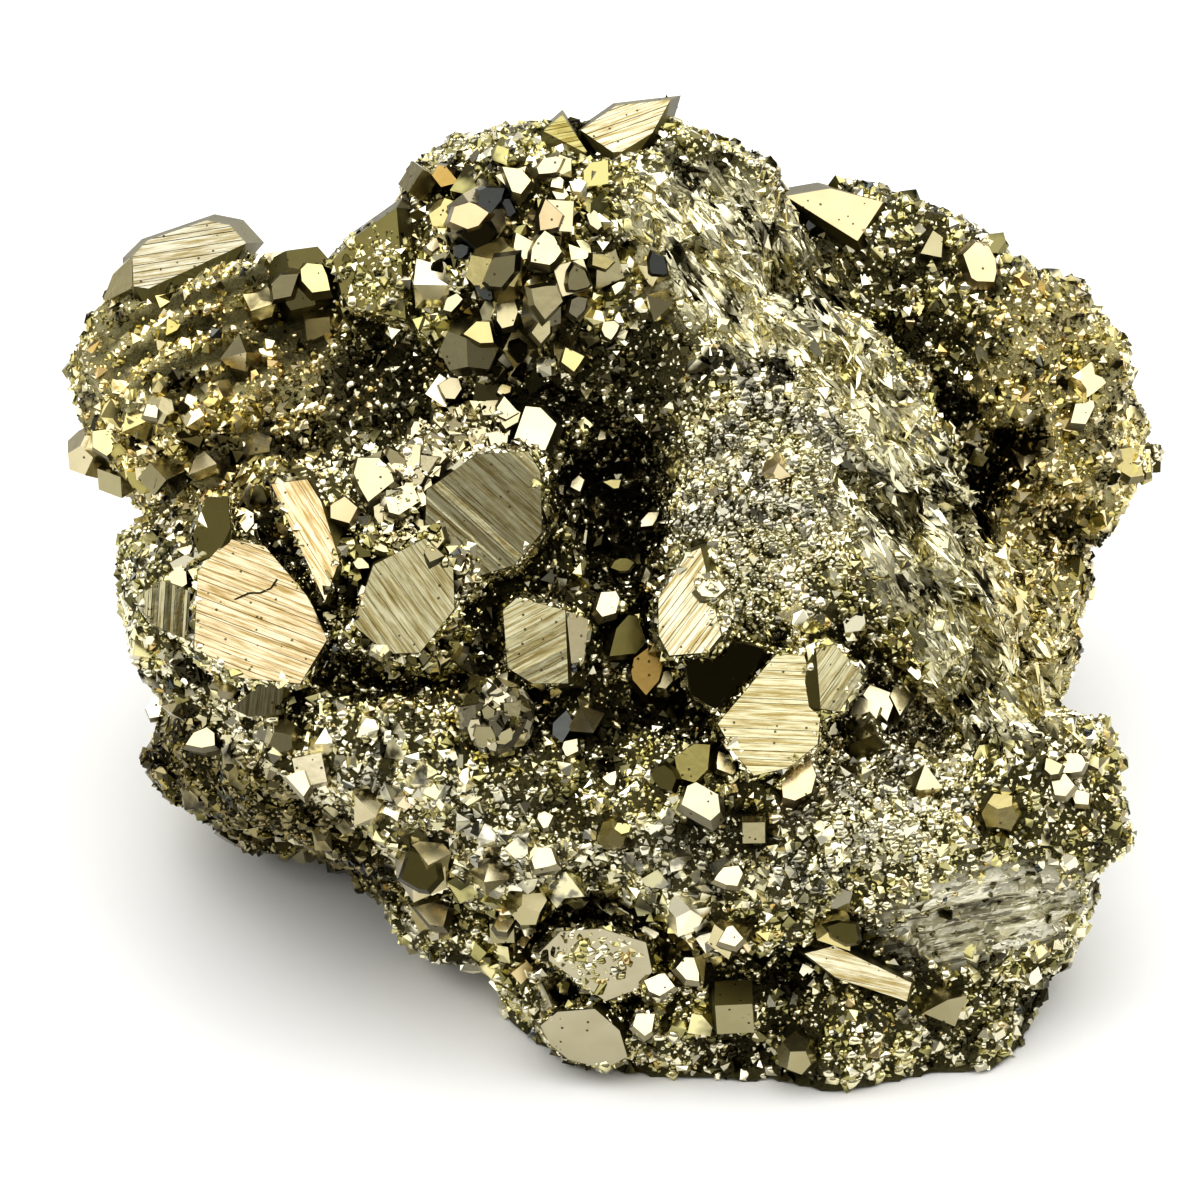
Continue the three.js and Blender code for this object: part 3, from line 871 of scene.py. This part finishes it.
def ground_mass(solid, groups):
    mesh = bpy.data.meshes.new("ground_mass")
    solid.to_mesh(mesh)
    mass = add_object("ground_mass", mesh)
    points, normals = even_grid(mass)
    mesh = mass.data
    tree = face_tree(groups)
    gaps = np.array([tree.find_nearest(Vector(p))[3] for p in points])
    under_crystal = smooth_step(*UNDER_CRYSTAL, gaps)
    base = smooth_step(*BASE_EDGE, points[:, 2])
    points -= normals * ((DRUSE_ROOM + under_crystal * UNDERCUT) * (1 - base))[:, None]
    move_points(mesh, points)

    places, _ = store_zones(mesh, points, normals)
    # Recesses are painted darker in the finishes: painted shade, like ambient occlusion
    store(mesh, "recess", recess_depth(mesh, points, normals))
    store(mesh, "open", (1 - under_crystal) * (1 - base))
    store(mesh, "base", base)
    streak = turned(places, STREAKS["angle"])
    streak /= np.array([STREAKS["along"], STREAKS["across"], STREAKS["across"]])
    store(mesh, "streak", streak)
    store(mesh, "layer", turned(places, LAYERS["angle"]))
    store(mesh, "band", turned(places, BANDS["angle"]))
    return mass


def geometry_tree(name, inputs):
    """A new geometry tree, its start, and the identifiers of its inputs by name."""
    tree = bpy.data.node_groups.new(name, "GeometryNodeTree")
    tree.interface.new_socket("Geometry", in_out="INPUT", socket_type="NodeSocketGeometry")
    identifiers = {}
    for label, kind in inputs.items():
        item = tree.interface.new_socket(label, in_out="INPUT", socket_type=kind)
        identifiers[label] = item.identifier
    tree.interface.new_socket("Geometry", in_out="OUTPUT", socket_type="NodeSocketGeometry")
    nodes = Nodes(tree)
    start = nodes.add("NodeGroupInput")
    return nodes, start, identifiers


def field(nodes, name, kind="FLOAT"):
    return nodes.add("GeometryNodeInputNamedAttribute", {"data_type": kind}, {"Name": name})


def vector_math(nodes, operation, first, second, out="Vector"):
    return nodes.add("ShaderNodeVectorMath", {"operation": operation}, {0: first, 1: second}, out)


def scaled(nodes, vector, factor):
    return nodes.add("ShaderNodeVectorMath", {"operation": "SCALE"}, {0: vector, "Scale": factor})


def noise(nodes, vector, scale, detail=2.0, roughness=0.5):
    return nodes.add("ShaderNodeTexNoise", {}, {
        "Vector": vector, "Scale": scale, "Detail": detail, "Roughness": roughness,
    })


def cells(nodes, vector, scale):
    return nodes.add("ShaderNodeTexVoronoi", {}, {"Vector": vector, "Scale": scale})


def wave(nodes, coordinates, spec):
    """Wavy ridges at a given spacing, across the second coordinate."""
    ridges = nodes.add("ShaderNodeTexWave", {"bands_direction": "Y"}, {
        "Vector": field(nodes, coordinates, "FLOAT_VECTOR"), "Scale": WAVE_LENGTH / spec["across"],
    } | WAVE_BEND, "Fac")
    return spec["height"] * (ridges - 0.5)


def plates(nodes, position):
    """Broken plates: cells of ground, each with a slope of its own."""
    plate = cells(nodes, position, 1 / PLATES["size"])
    inside = vector_math(nodes, "SUBTRACT", position, plate.output("Position"))
    slope = vector_math(nodes, "SUBTRACT", plate.output("Color"), (0.5, 0.5, 0.5))
    return PLATES["slope"] * vector_math(nodes, "DOT_PRODUCT", inside, slope, "Value")


def roughen(mass):
    """Raises the lumps, knobs, streaks and layers of the ground mass."""
    nodes, start, _ = geometry_tree("ground mass relief", {})
    position = nodes.add("GeometryNodeInputPosition")
    normal = nodes.add("GeometryNodeInputNormal")
    fibre = field(nodes, "fibre")
    layers = field(nodes, "layers")
    grainy = 1 - KNOBS_LOST["fibre"] * fibre - KNOBS_LOST["layers"] * layers
    lumps = noise(nodes, position, 1 / LUMPS["size"], detail=3) - 0.5
    knobs = KNOBS["level"] - cells(nodes, position, 1 / KNOBS["size"])
    boulders = BOULDERS["level"] - cells(nodes, position, 1 / BOULDERS["size"])
    streaks = noise(nodes, field(nodes, "streak", "FLOAT_VECTOR"), scale=1.0) - 0.5
    height = LUMPS["height"] * lumps + KNOBS["height"] * knobs * grainy
    height = height + BOULDERS["height"] * boulders * field(nodes, "warm")
    height = height + (STREAKS["height"] * streaks + plates(nodes, position)) * fibre
    height = height + wave(nodes, "layer", LAYERS) * layers
    height = height + wave(nodes, "band", BANDS) * field(nodes, "bands")
    height = (height - HOLLOW_DEPTH * field(nodes, "hollow")) * (1 - field(nodes, "base"))
    moved = nodes.add("GeometryNodeSetPosition", {}, {
        "Geometry": start, "Offset": scaled(nodes, normal, height),
    })
    nodes.add("NodeGroupOutput", {}, {"Geometry": moved})
    modifier = mass.modifiers.new("relief", "NODES")
    modifier.node_group = nodes.tree
    apply_modifiers(mass)


# Where druse grows

def thinned(cover, zone, lost):
    """A cover that is thinner in some zones."""
    for name, share in lost.items():
        cover = cover * (1 - share * zone[name])
    return cover


def store_cover(mass):
    """How thickly each kind of druse grows over the ground mass."""
    mesh = mass.data
    zone = {name: read_values(mesh, name) for name in ("open", "front", *ZONES)}
    places = display_places(read_vectors(mesh, "co"))
    upper = smooth_step(*UPPER, places[:, 1])
    along, across, _ = turned(places, BANDS["angle"]).T
    sway = STRIPES["sway"] * np.sin(along / STRIPES["length"])
    stripes = smooth_step(*STRIPES["edge"], np.sin(2 * np.pi * across / BANDS["across"] + sway))
    stripes = STRIPES["least"] + (1 - STRIPES["least"]) * stripes
    store(mesh, "stripe", stripes)
    grainy = thinned(zone["open"], zone, GRAINS_LOST)
    grainy *= 1 - zone["bands"] * (1 - stripes)
    coarse = np.maximum(zone["coarse"], CRYSTALS_LEAST + CRYSTALS_ON_SHARDS * zone["shards"])
    coarse = thinned(coarse, zone, CRYSTALS_LOST)
    covers = {
        "upper": grainy * zone["front"] * upper,
        "lower": grainy * zone["front"] * (1 - upper),
        "sugar": zone["open"] * zone["sugar"],
        "back": zone["open"] * (1 - zone["front"]),
        "coarse": zone["open"] * coarse,
        "medium": zone["open"] * zone["clusters"] * (1 - zone["fibre"]),
        "splinter": zone["open"] * zone["fibre"] * SPLINTER_COVER,
    }
    for kind, cover in covers.items():
        store(mesh, "cover_" + kind, cover)


def ring_weight(places, heap):
    """Where grains crust over a heap of crystals: between two radii and two angles about its centre."""
    inner, outer = heap["crusted"]
    low, high = heap["angles"]
    right, up = (places[:, :2] - heap["centre"]).T
    radius = np.hypot(right, up)
    angle = np.degrees(np.arctan2(up, right)) % 360
    starts, full = (inner + margin for margin in RING_INNER)
    ring = smooth_step(starts, full, radius) * smooth_step(outer + RING_FADE, outer, radius)
    return ring * ((angle >= low) & (angle <= high))


def crust_skin(crystals):
    """An even skin over the large crystals, marked where grains crust over them."""
    skin = add_object("crust_skin", crystals.data.copy())
    points, normals = even_grid(skin)
    places, front = store_zones(skin.data, points, normals)
    side = smooth_step(*SIDES, normals @ np.array(OUT))
    crust = np.maximum(zone_weight(places, CRUSTED_SIDES) * side, zone_weight(places, CRUSTED_FACES))
    for heap in [*MANTLES, BALL]:
        crust = np.maximum(crust, ring_weight(places, heap) * heap["crust"])
    store(skin.data, "cover_crust", crust * front)
    return skin


# Druse: small crystals that grow on the ground mass

def box_points(x, y, z):
    return [(x * i, y * j, z * k) for i in (-1, 1) for j in (-1, 1) for k in (-1, 1)]


def pyritohedron_points(half, tall, short):
    points = box_points(half, half, half)
    for i in (-1, 1):
        for j in (-1, 1):
            points.append((0, i * tall, j * short))
            points.append((i * tall, j * short, 0))
            points.append((j * short, 0, i * tall))
    return points


def chipped_cube_points(half, chip):
    points = [p for p in box_points(half, half, half) if p not in ((half, half, half), (-half, half, half))]
    for side in (-1, 1):
        points.append((side * (half - chip), half, half))
        points.append((side * half, half - chip, half))
        points.append((side * half, half, half - chip))
    return points


def knot_points(seed, count, uneven, radius=0.55):
    """An irregular crystal: points spread over a ball in a spiral, whose hull has a few flat faces."""
    draw = np.random.default_rng(seed)
    heights = 1 - (2 * np.arange(count) + 1) / count
    angles = np.arange(count) * GOLDEN_ANGLE
    flat = np.sqrt(1 - heights ** 2)
    spread = np.stack([flat * np.cos(angles), flat * np.sin(angles), heights], axis=1)
    spread += draw.normal(scale=uneven, size=(count, 3))
    return [tuple(p) for p in spread / np.linalg.norm(spread, axis=1)[:, None] * radius]


GRAIN_SHAPES = {f"grain {seed}": knot_points(seed, 6 + seed % 3, uneven=0.3) for seed in range(9)}
CRYSTAL_SHAPES = {
    "chipped cube": chipped_cube_points(half=0.5, chip=0.3),
    "deep chipped cube": chipped_cube_points(half=0.5, chip=0.55),
    "pyritohedron": pyritohedron_points(half=0.5, tall=0.62, short=0.228),
} | {f"knot {seed}": knot_points(seed, 9 + seed % 4, uneven=0.25) for seed in range(10)}
SPLINTER_SHAPES = {
    "splinter": [
        (-0.5, 0, 0.0), (0.5, 0.02, 0.0), (-0.3, 0.04, -0.04), (0.3, 0.04, -0.05),
        (-0.2, -0.04, -0.05), (0.35, -0.04, -0.04), (0.05, 0.01, 0.05),
    ],
    "flat splinter": [
        (-0.5, 0.02, 0.0), (0.5, 0, 0.01), (-0.25, 0.05, 0.02), (0.2, 0.06, 0.04),
        (-0.1, -0.06, 0.0), (0.3, -0.04, -0.03), (0.0, 0.0, -0.05),
    ],
    "chip": [
        (-0.4, -0.07, 0.0), (0.3, -0.1, 0.02), (0.5, 0.04, 0.0), (0.1, 0.11, 0.05), (-0.3, 0.08, 0.02),
        (0.0, 0.0, -0.08),
    ],
}


def shape_collection(name, shapes):
    group = bpy.data.collections.new(name)
    for label, points in shapes.items():
        group.objects.link(bpy.data.objects.new(label, to_mesh(hull(points), label)))
    return group


def clear_collection(group):
    for piece in list(group.objects):
        bpy.data.meshes.remove(piece.data)
    bpy.data.collections.remove(group)


def random_value(nodes, low, high, seed, kind="FLOAT"):
    return nodes.add("FunctionNodeRandomValue", {"data_type": kind}, {"Min": low, "Max": high, "Seed": seed})


def rotated(nodes, rotation, angles):
    turn = nodes.add("FunctionNodeEulerToRotation", {}, {"Euler": angles})
    return nodes.add("FunctionNodeRotateRotation", {"rotation_space": "LOCAL"}, {
        "Rotation": rotation, "Rotate By": turn,
    })


def druse_tree():
    """Grows crystals on a surface: even spacing, random size, tilt and spin, or lying along the streaks."""
    numbers = ("Spacing", "Size Min", "Size Max", "Tilt", "Sink", "Rounded", "Along Streaks")
    nodes, start, names = geometry_tree("druse", dict.fromkeys(numbers, "NodeSocketFloat") | {
        "Shapes": "NodeSocketCollection", "Cover": "NodeSocketString", "Seed": "NodeSocketInt",
        "Material": "NodeSocketMaterial",
    })
    given = {label: start.output(label) for label in names}
    seed = given["Seed"]
    points = nodes.add("GeometryNodeDistributePointsOnFaces", {"distribute_method": "POISSON"}, {
        "Mesh": start, "Distance Min": given["Spacing"], "Seed": seed,
        "Density Max": POINT_DENSITY / (given["Spacing"] * given["Spacing"]),
        "Density Factor": field(nodes, given["Cover"]),
    })
    chance = random_value(nodes, 0.0, 1.0, seed + 1)
    size = given["Size Min"] + (given["Size Max"] - given["Size Min"]) * chance * chance * chance
    sunk = nodes.add("GeometryNodeSetPosition", {}, {
        "Geometry": points, "Offset": scaled(nodes, points.output("Normal"), size * given["Sink"] * -1),
    })
    flow = nodes.add("FunctionNodeAlignRotationToVector", {"axis": "X", "pivot_axis": "Z"}, {
        "Rotation": points.output("Rotation"), "Factor": given["Along Streaks"],
        "Vector": face_direction(math.radians(STREAKS["angle"])),
    })
    spin = random_value(nodes, (0, 0, -math.pi), (0, 0, math.pi), seed + 2, "FLOAT_VECTOR")
    spun = rotated(nodes, flow, scaled(nodes, spin, 1 - given["Along Streaks"] * STREAK_HOLD))
    lean = random_value(nodes, (-1, -1, 0), (1, 1, 0), seed + 3, "FLOAT_VECTOR")
    leaned = rotated(nodes, spun, scaled(nodes, lean, given["Tilt"]))
    shapes = nodes.add("GeometryNodeCollectionInfo", {}, {
        "Collection": given["Shapes"], "Separate Children": True, "Reset Children": True,
    })
    grown = nodes.add("GeometryNodeInstanceOnPoints", {}, {
        "Points": sunk, "Instance": shapes, "Pick Instance": True,
        "Instance Index": random_value(nodes, 0, MANY, seed + 4, "INT"),
        "Rotation": leaned, "Scale": nodes.add("ShaderNodeCombineXYZ", {}, {0: size, 1: size, 2: size}),
    })
    for name, step in (("tone", 5), ("chosen", 6)):
        grown = nodes.add("GeometryNodeStoreNamedAttribute", {"data_type": "FLOAT", "domain": "INSTANCE"}, {
            "Geometry": grown, "Name": name, "Value": random_value(nodes, 0.0, 1.0, seed + step),
        })
    real = nodes.add("GeometryNodeRealizeInstances", {}, {"Geometry": grown})
    rounded = nodes.add("FunctionNodeCompare", {"operation": "LESS_THAN"}, {
        "A": field(nodes, "chosen"), "B": given["Rounded"] + SUGAR_ROUNDED * field(nodes, "sugar"),
    })
    shaded = nodes.add("GeometryNodeSetShadeSmooth", {}, {"Geometry": real, "Shade Smooth": rounded})
    done = nodes.add("GeometryNodeSetMaterial", {}, {"Geometry": shaded, "Material": given["Material"]})
    nodes.add("NodeGroupOutput", {}, {"Geometry": done})
    return nodes.tree, names


def grow(name, ground, tree, names, values):
    piece = add_object(name, ground.data.copy())
    modifier = piece.modifiers.new("druse", "NODES")
    modifier.node_group = tree
    for label, value in values.items():
        modifier[names[label]] = value
    apply_modifiers(piece)
    return piece


# Finishes

def new_material(name):
    material = bpy.data.materials.new(name)
    material.use_nodes = True
    material.node_tree.nodes.clear()
    return material, Nodes(material.node_tree)


def attribute(nodes, name, out="Fac"):
    return nodes.add("ShaderNodeAttribute", {"attribute_name": name}, {}, out)


def mixed(nodes, factor, first, second, blend="MIX"):
    return nodes.add("ShaderNodeMix", {"data_type": "RGBA", "blend_type": blend}, {
        "Factor": factor, "A": first, "B": second,
    }, "Result")


def coated(nodes, colour, coats):
    """Mixes coats over a colour. A coat is (factor, colour) or (factor, colour, blend)."""
    for factor, coat, *blend in coats:
        colour = mixed(nodes, factor, colour, coat, *blend)
    return colour


def above(value, level, steepness):
    """Rises from 0 where a value is above a level."""
    return (value - level) * steepness * (value > level)


def below(value, level, steepness):
    """Rises from 0 where a value is below a level."""
    return (level - value) * steepness * (value < level)


def stepped(value, level, least):
    """The least share below a level, and 1 above it."""
    return least + (1 - least) * (value > level)


def finish_shader(nodes, sockets):
    shader = nodes.add("ShaderNodeBsdfPrincipled", {}, sockets)
    nodes.add("ShaderNodeOutputMaterial", {}, {"Surface": shader})


def object_place(nodes):
    """Object coordinates, in millimetres."""
    place = nodes.add("ShaderNodeTexCoord", {}, {}, "Object")
    return scaled(nodes, place, 1 / MM)


def crystal_finish():
    material, nodes = new_material("crystal face")
    place = object_place(nodes)
    cloud = noise(nodes, place, scale=0.5, detail=4)
    threads = noise(nodes, attribute(nodes, "lines", "Vector"), scale=5.0, detail=4, roughness=0.7)
    pits = cells(nodes, place, PITS["scale"]) < PITS["radius"]
    colour = coated(nodes, attribute(nodes, "tint", "Color"), [
        (cloud * TINT_CLOUD, CLOUD_TINT, "MULTIPLY"),
        (above(threads, level=0.42, steepness=5), THREAD_BROWN, "MULTIPLY"),
        (pits * PITS["share"], BLACK_AND_SHADE),
    ])
    rough = CRYSTAL_ROUGHNESS
    roughness = rough["least"] + rough["cloud"] * cloud + rough["pits"] * pits
    roughness = roughness + rough["dull"] * attribute(nodes, "tint", "Alpha")
    relief = noise(nodes, place, scale=1.6, detail=3)
    bump = nodes.add("ShaderNodeBump", {}, CRYSTAL_BUMP | {"Height": relief})
    finish_shader(nodes, {"Base Color": colour, "Metallic": 1.0, "Roughness": roughness, "Normal": bump})
    return material


def druse_finish():
    material, nodes = new_material("druse")
    tone = attribute(nodes, "tone")
    # The grains that take painted shade in recesses, hollows and dim patches
    dull = tone < SHADED_GRAIN_TONE
    place = object_place(nodes)
    share = {zone: attribute(nodes, zone) * part for zone, part in DRUSE_SHARES.items()}
    patches = below(noise(nodes, place, scale=0.3, detail=3), level=0.52, steepness=7)
    specks = below(noise(nodes, place, scale=1.0), level=0.5, steepness=9)
    ramp = nodes.add("ShaderNodeValToRGB", {"stops": DRUSE_TONES}, {"Fac": tone})
    colour = coated(nodes, ramp, [
        (share["fibre"], STRAW),
        (patches * (tone < PATCHED_TONE), BLACK_AND_SHADE),
        (specks * (tone < SPECKED_TONE) * attribute(nodes, "shards"), BLACK_AND_SHADE),
        # Painted shade in recesses
        (share["recess"] * dull, BLACK_AND_SHADE),
        # Painted shade in hollows and dim patches
        ((share["hollow"] + share["dim"]) * dull, BLACK_AND_SHADE),
        (share["sugar"] + share["shards"], SILVER),
        # Painted highlight on the bright patches
        (share["bright"], CREAM),
        (share["warm"], WARM_TINT, "MULTIPLY"),
        (share["shade"], SHADE, "MULTIPLY"),
    ])
    roughness = DRUSE_ROUGHNESS["least"] + DRUSE_ROUGHNESS["tone"] * tone
    finish_shader(nodes, {"Base Color": colour, "Metallic": 1.0, "Roughness": roughness})
    return material


def mass_finish():
    material, nodes = new_material("ground mass")
    place = object_place(nodes)
    share = {zone: attribute(nodes, zone) * part for zone, part in MASS_SHARES.items()}
    fibre = attribute(nodes, "fibre")
    layers = attribute(nodes, "layers")
    bands = attribute(nodes, "bands")
    cloud = noise(nodes, place, scale=0.8, detail=4)
    wander = scaled(nodes, cloud.output("Color"), STREAK_WANDER)
    streak = vector_math(nodes, "ADD", attribute(nodes, "streak", "Vector"), wander)
    threads = noise(nodes, streak, scale=2.6, detail=3, roughness=0.6)
    sheet = vector_math(nodes, "MULTIPLY", attribute(nodes, "layer", "Vector"), SHEETS)
    sheets = noise(nodes, sheet, scale=1.0, detail=3, roughness=0.6)
    # A near-black base: partly the mass's own dark colour, partly painted shade in the gaps between grains
    colour = coated(nodes, BLACK_AND_SHADE, [
        (cloud * OLIVE_CLOUD, OLIVE),
        (fibre * stepped(threads, level=0.43, least=0.25), STRAW),
        (bands * attribute(nodes, "stripe") * cloud, GOLD),
        (attribute(nodes, "warm") * (1 - bands) * cloud * GOLD_CLOUD, GOLD),
        # Painted shade in recesses
        (share["recess"], BLACK_AND_SHADE),
        (layers * stepped(sheets, level=0.44, least=0.3), SILVER),
        # Painted shade in hollows
        (share["hollow"], BLACK_AND_SHADE),
        (share["shade"], SHADE, "MULTIPLY"),
    ])
    grain = noise(nodes, place, scale=4.0, detail=4, roughness=0.7)
    fine = grain * (1 - fibre) * (1 - layers) + threads * fibre + sheets * layers
    bump = nodes.add("ShaderNodeBump", {}, MASS_BUMP | {"Height": fine})
    rough = MASS_ROUGHNESS
    roughness = rough["least"] + rough["cloud"] * cloud + rough["smooth"] * (fibre + layers)
    finish_shader(nodes, {"Base Color": colour, "Metallic": 1.0, "Roughness": roughness, "Normal": bump})
    return material


def floor_finish():
    material, nodes = new_material("pale floor")
    finish_shader(nodes, FLOOR)
    return material


# The studio

def add_camera():
    camera = bpy.data.objects.new("camera", bpy.data.cameras.new("camera"))
    camera.location = face_point(CAMERA_AIM) * MM + OUT * CAMERA_DISTANCE
    camera.rotation_euler = OUT.to_track_quat("Z", "Y").to_euler()
    camera.data.sensor_width = SENSOR
    camera.data.lens = SENSOR * CAMERA_DISTANCE / (PICTURE_WIDTH * MM)
    bpy.context.scene.collection.objects.link(camera)
    bpy.context.scene.camera = camera


def add_floor():
    half = FLOOR_HALF
    mesh = bpy.data.meshes.new("floor")
    corners = [(-half, -half, 0), (half, -half, 0), (half, half, 0), (-half, half, 0)]
    mesh.from_pydata(corners, [], [(0, 1, 2, 3)])
    mesh.materials.append(floor_finish())
    add_object("floor", mesh)


def add_light(name, place, width, height, brightness):
    light = bpy.data.lights.new(name, "AREA")
    light.shape = "RECTANGLE"
    light.size = width
    light.size_y = height
    light.energy = brightness * math.pi * width * height
    lamp = bpy.data.objects.new(name, light)
    lamp.location = place
    lamp.rotation_euler = (Vector(LIGHT_AIM) - Vector(place)).to_track_quat("-Z", "Y").to_euler()
    lamp.visible_camera = False
    bpy.context.scene.collection.objects.link(lamp)


def add_world():
    """A sky that is dark below and pale above. The camera sees a plain pale backdrop."""
    world = bpy.data.worlds.new("studio")
    world.use_nodes = True
    world.node_tree.nodes.clear()
    nodes = Nodes(world.node_tree)
    direction = nodes.add("ShaderNodeTexCoord", {}, {}, "Generated")
    height = nodes.add("ShaderNodeSeparateXYZ", {}, {"Vector": direction}, "Z")
    sky = nodes.add("ShaderNodeValToRGB", {"stops": SKY}, {"Fac": height})
    seen = nodes.add("ShaderNodeLightPath", {}, {}, "Is Camera Ray")
    light = nodes.add("ShaderNodeBackground", {}, {"Color": mixed(nodes, seen, sky, BACKDROP)})
    nodes.add("ShaderNodeOutputWorld", {}, {"Surface": light})
    bpy.context.scene.world = world


def studio():
    add_camera()
    add_floor()
    for name, (place, width, height, brightness) in SOFT_BOXES.items():
        add_light(name, place, width, height, brightness)
    add_world()
    bpy.context.scene.view_settings.view_transform = "Standard"
    bpy.context.scene.view_settings.look = CONTRAST
    bpy.context.scene.view_settings.exposure = EXPOSURE


# Build

def keep_above_floor(mesh):
    points = read_vectors(mesh, "co")
    points[:, 2] = np.maximum(points[:, 2], 0)
    move_points(mesh, points)


draw = np.random.default_rng(SEED)
solid = merged_solid()
groups = find_crystals(solid)
crystals = large_crystals(solid, groups, draw)
mass = ground_mass(solid, groups)
roughen(mass)
store_cover(mass)
skin = crust_skin(crystals)
crystals.data.materials.append(crystal_finish())

tree, names = druse_tree()
grains = shape_collection("grains", GRAIN_SHAPES)
small = shape_collection("small crystals", CRYSTAL_SHAPES)
splinters = shape_collection("splinters", SPLINTER_SHAPES)
druse = druse_finish()
made = [mass, crystals]
for name, row in DRUSE_LAYERS.items():
    ground = skin if name == "crystal_crust" else mass
    shapes = {"splinters": splinters, "small_crystals": small, "medium_crystals": small}.get(name, grains)
    along = 1.0 if name == "splinters" else 0.0
    values = dict(zip(DRUSE_COLUMNS, row)) | {"Shapes": shapes, "Along Streaks": along, "Material": druse}
    made.append(grow(name, ground, tree, names, values))
for group in (grains, small, splinters):
    clear_collection(group)
bpy.data.objects.remove(skin)
mass.data.materials.append(mass_finish())

for piece in made:
    keep_above_floor(piece.data)
    piece.data.transform(Matrix.Scale(MM, 4))
    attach(piece, "root")
    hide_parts(NODE)

studio()
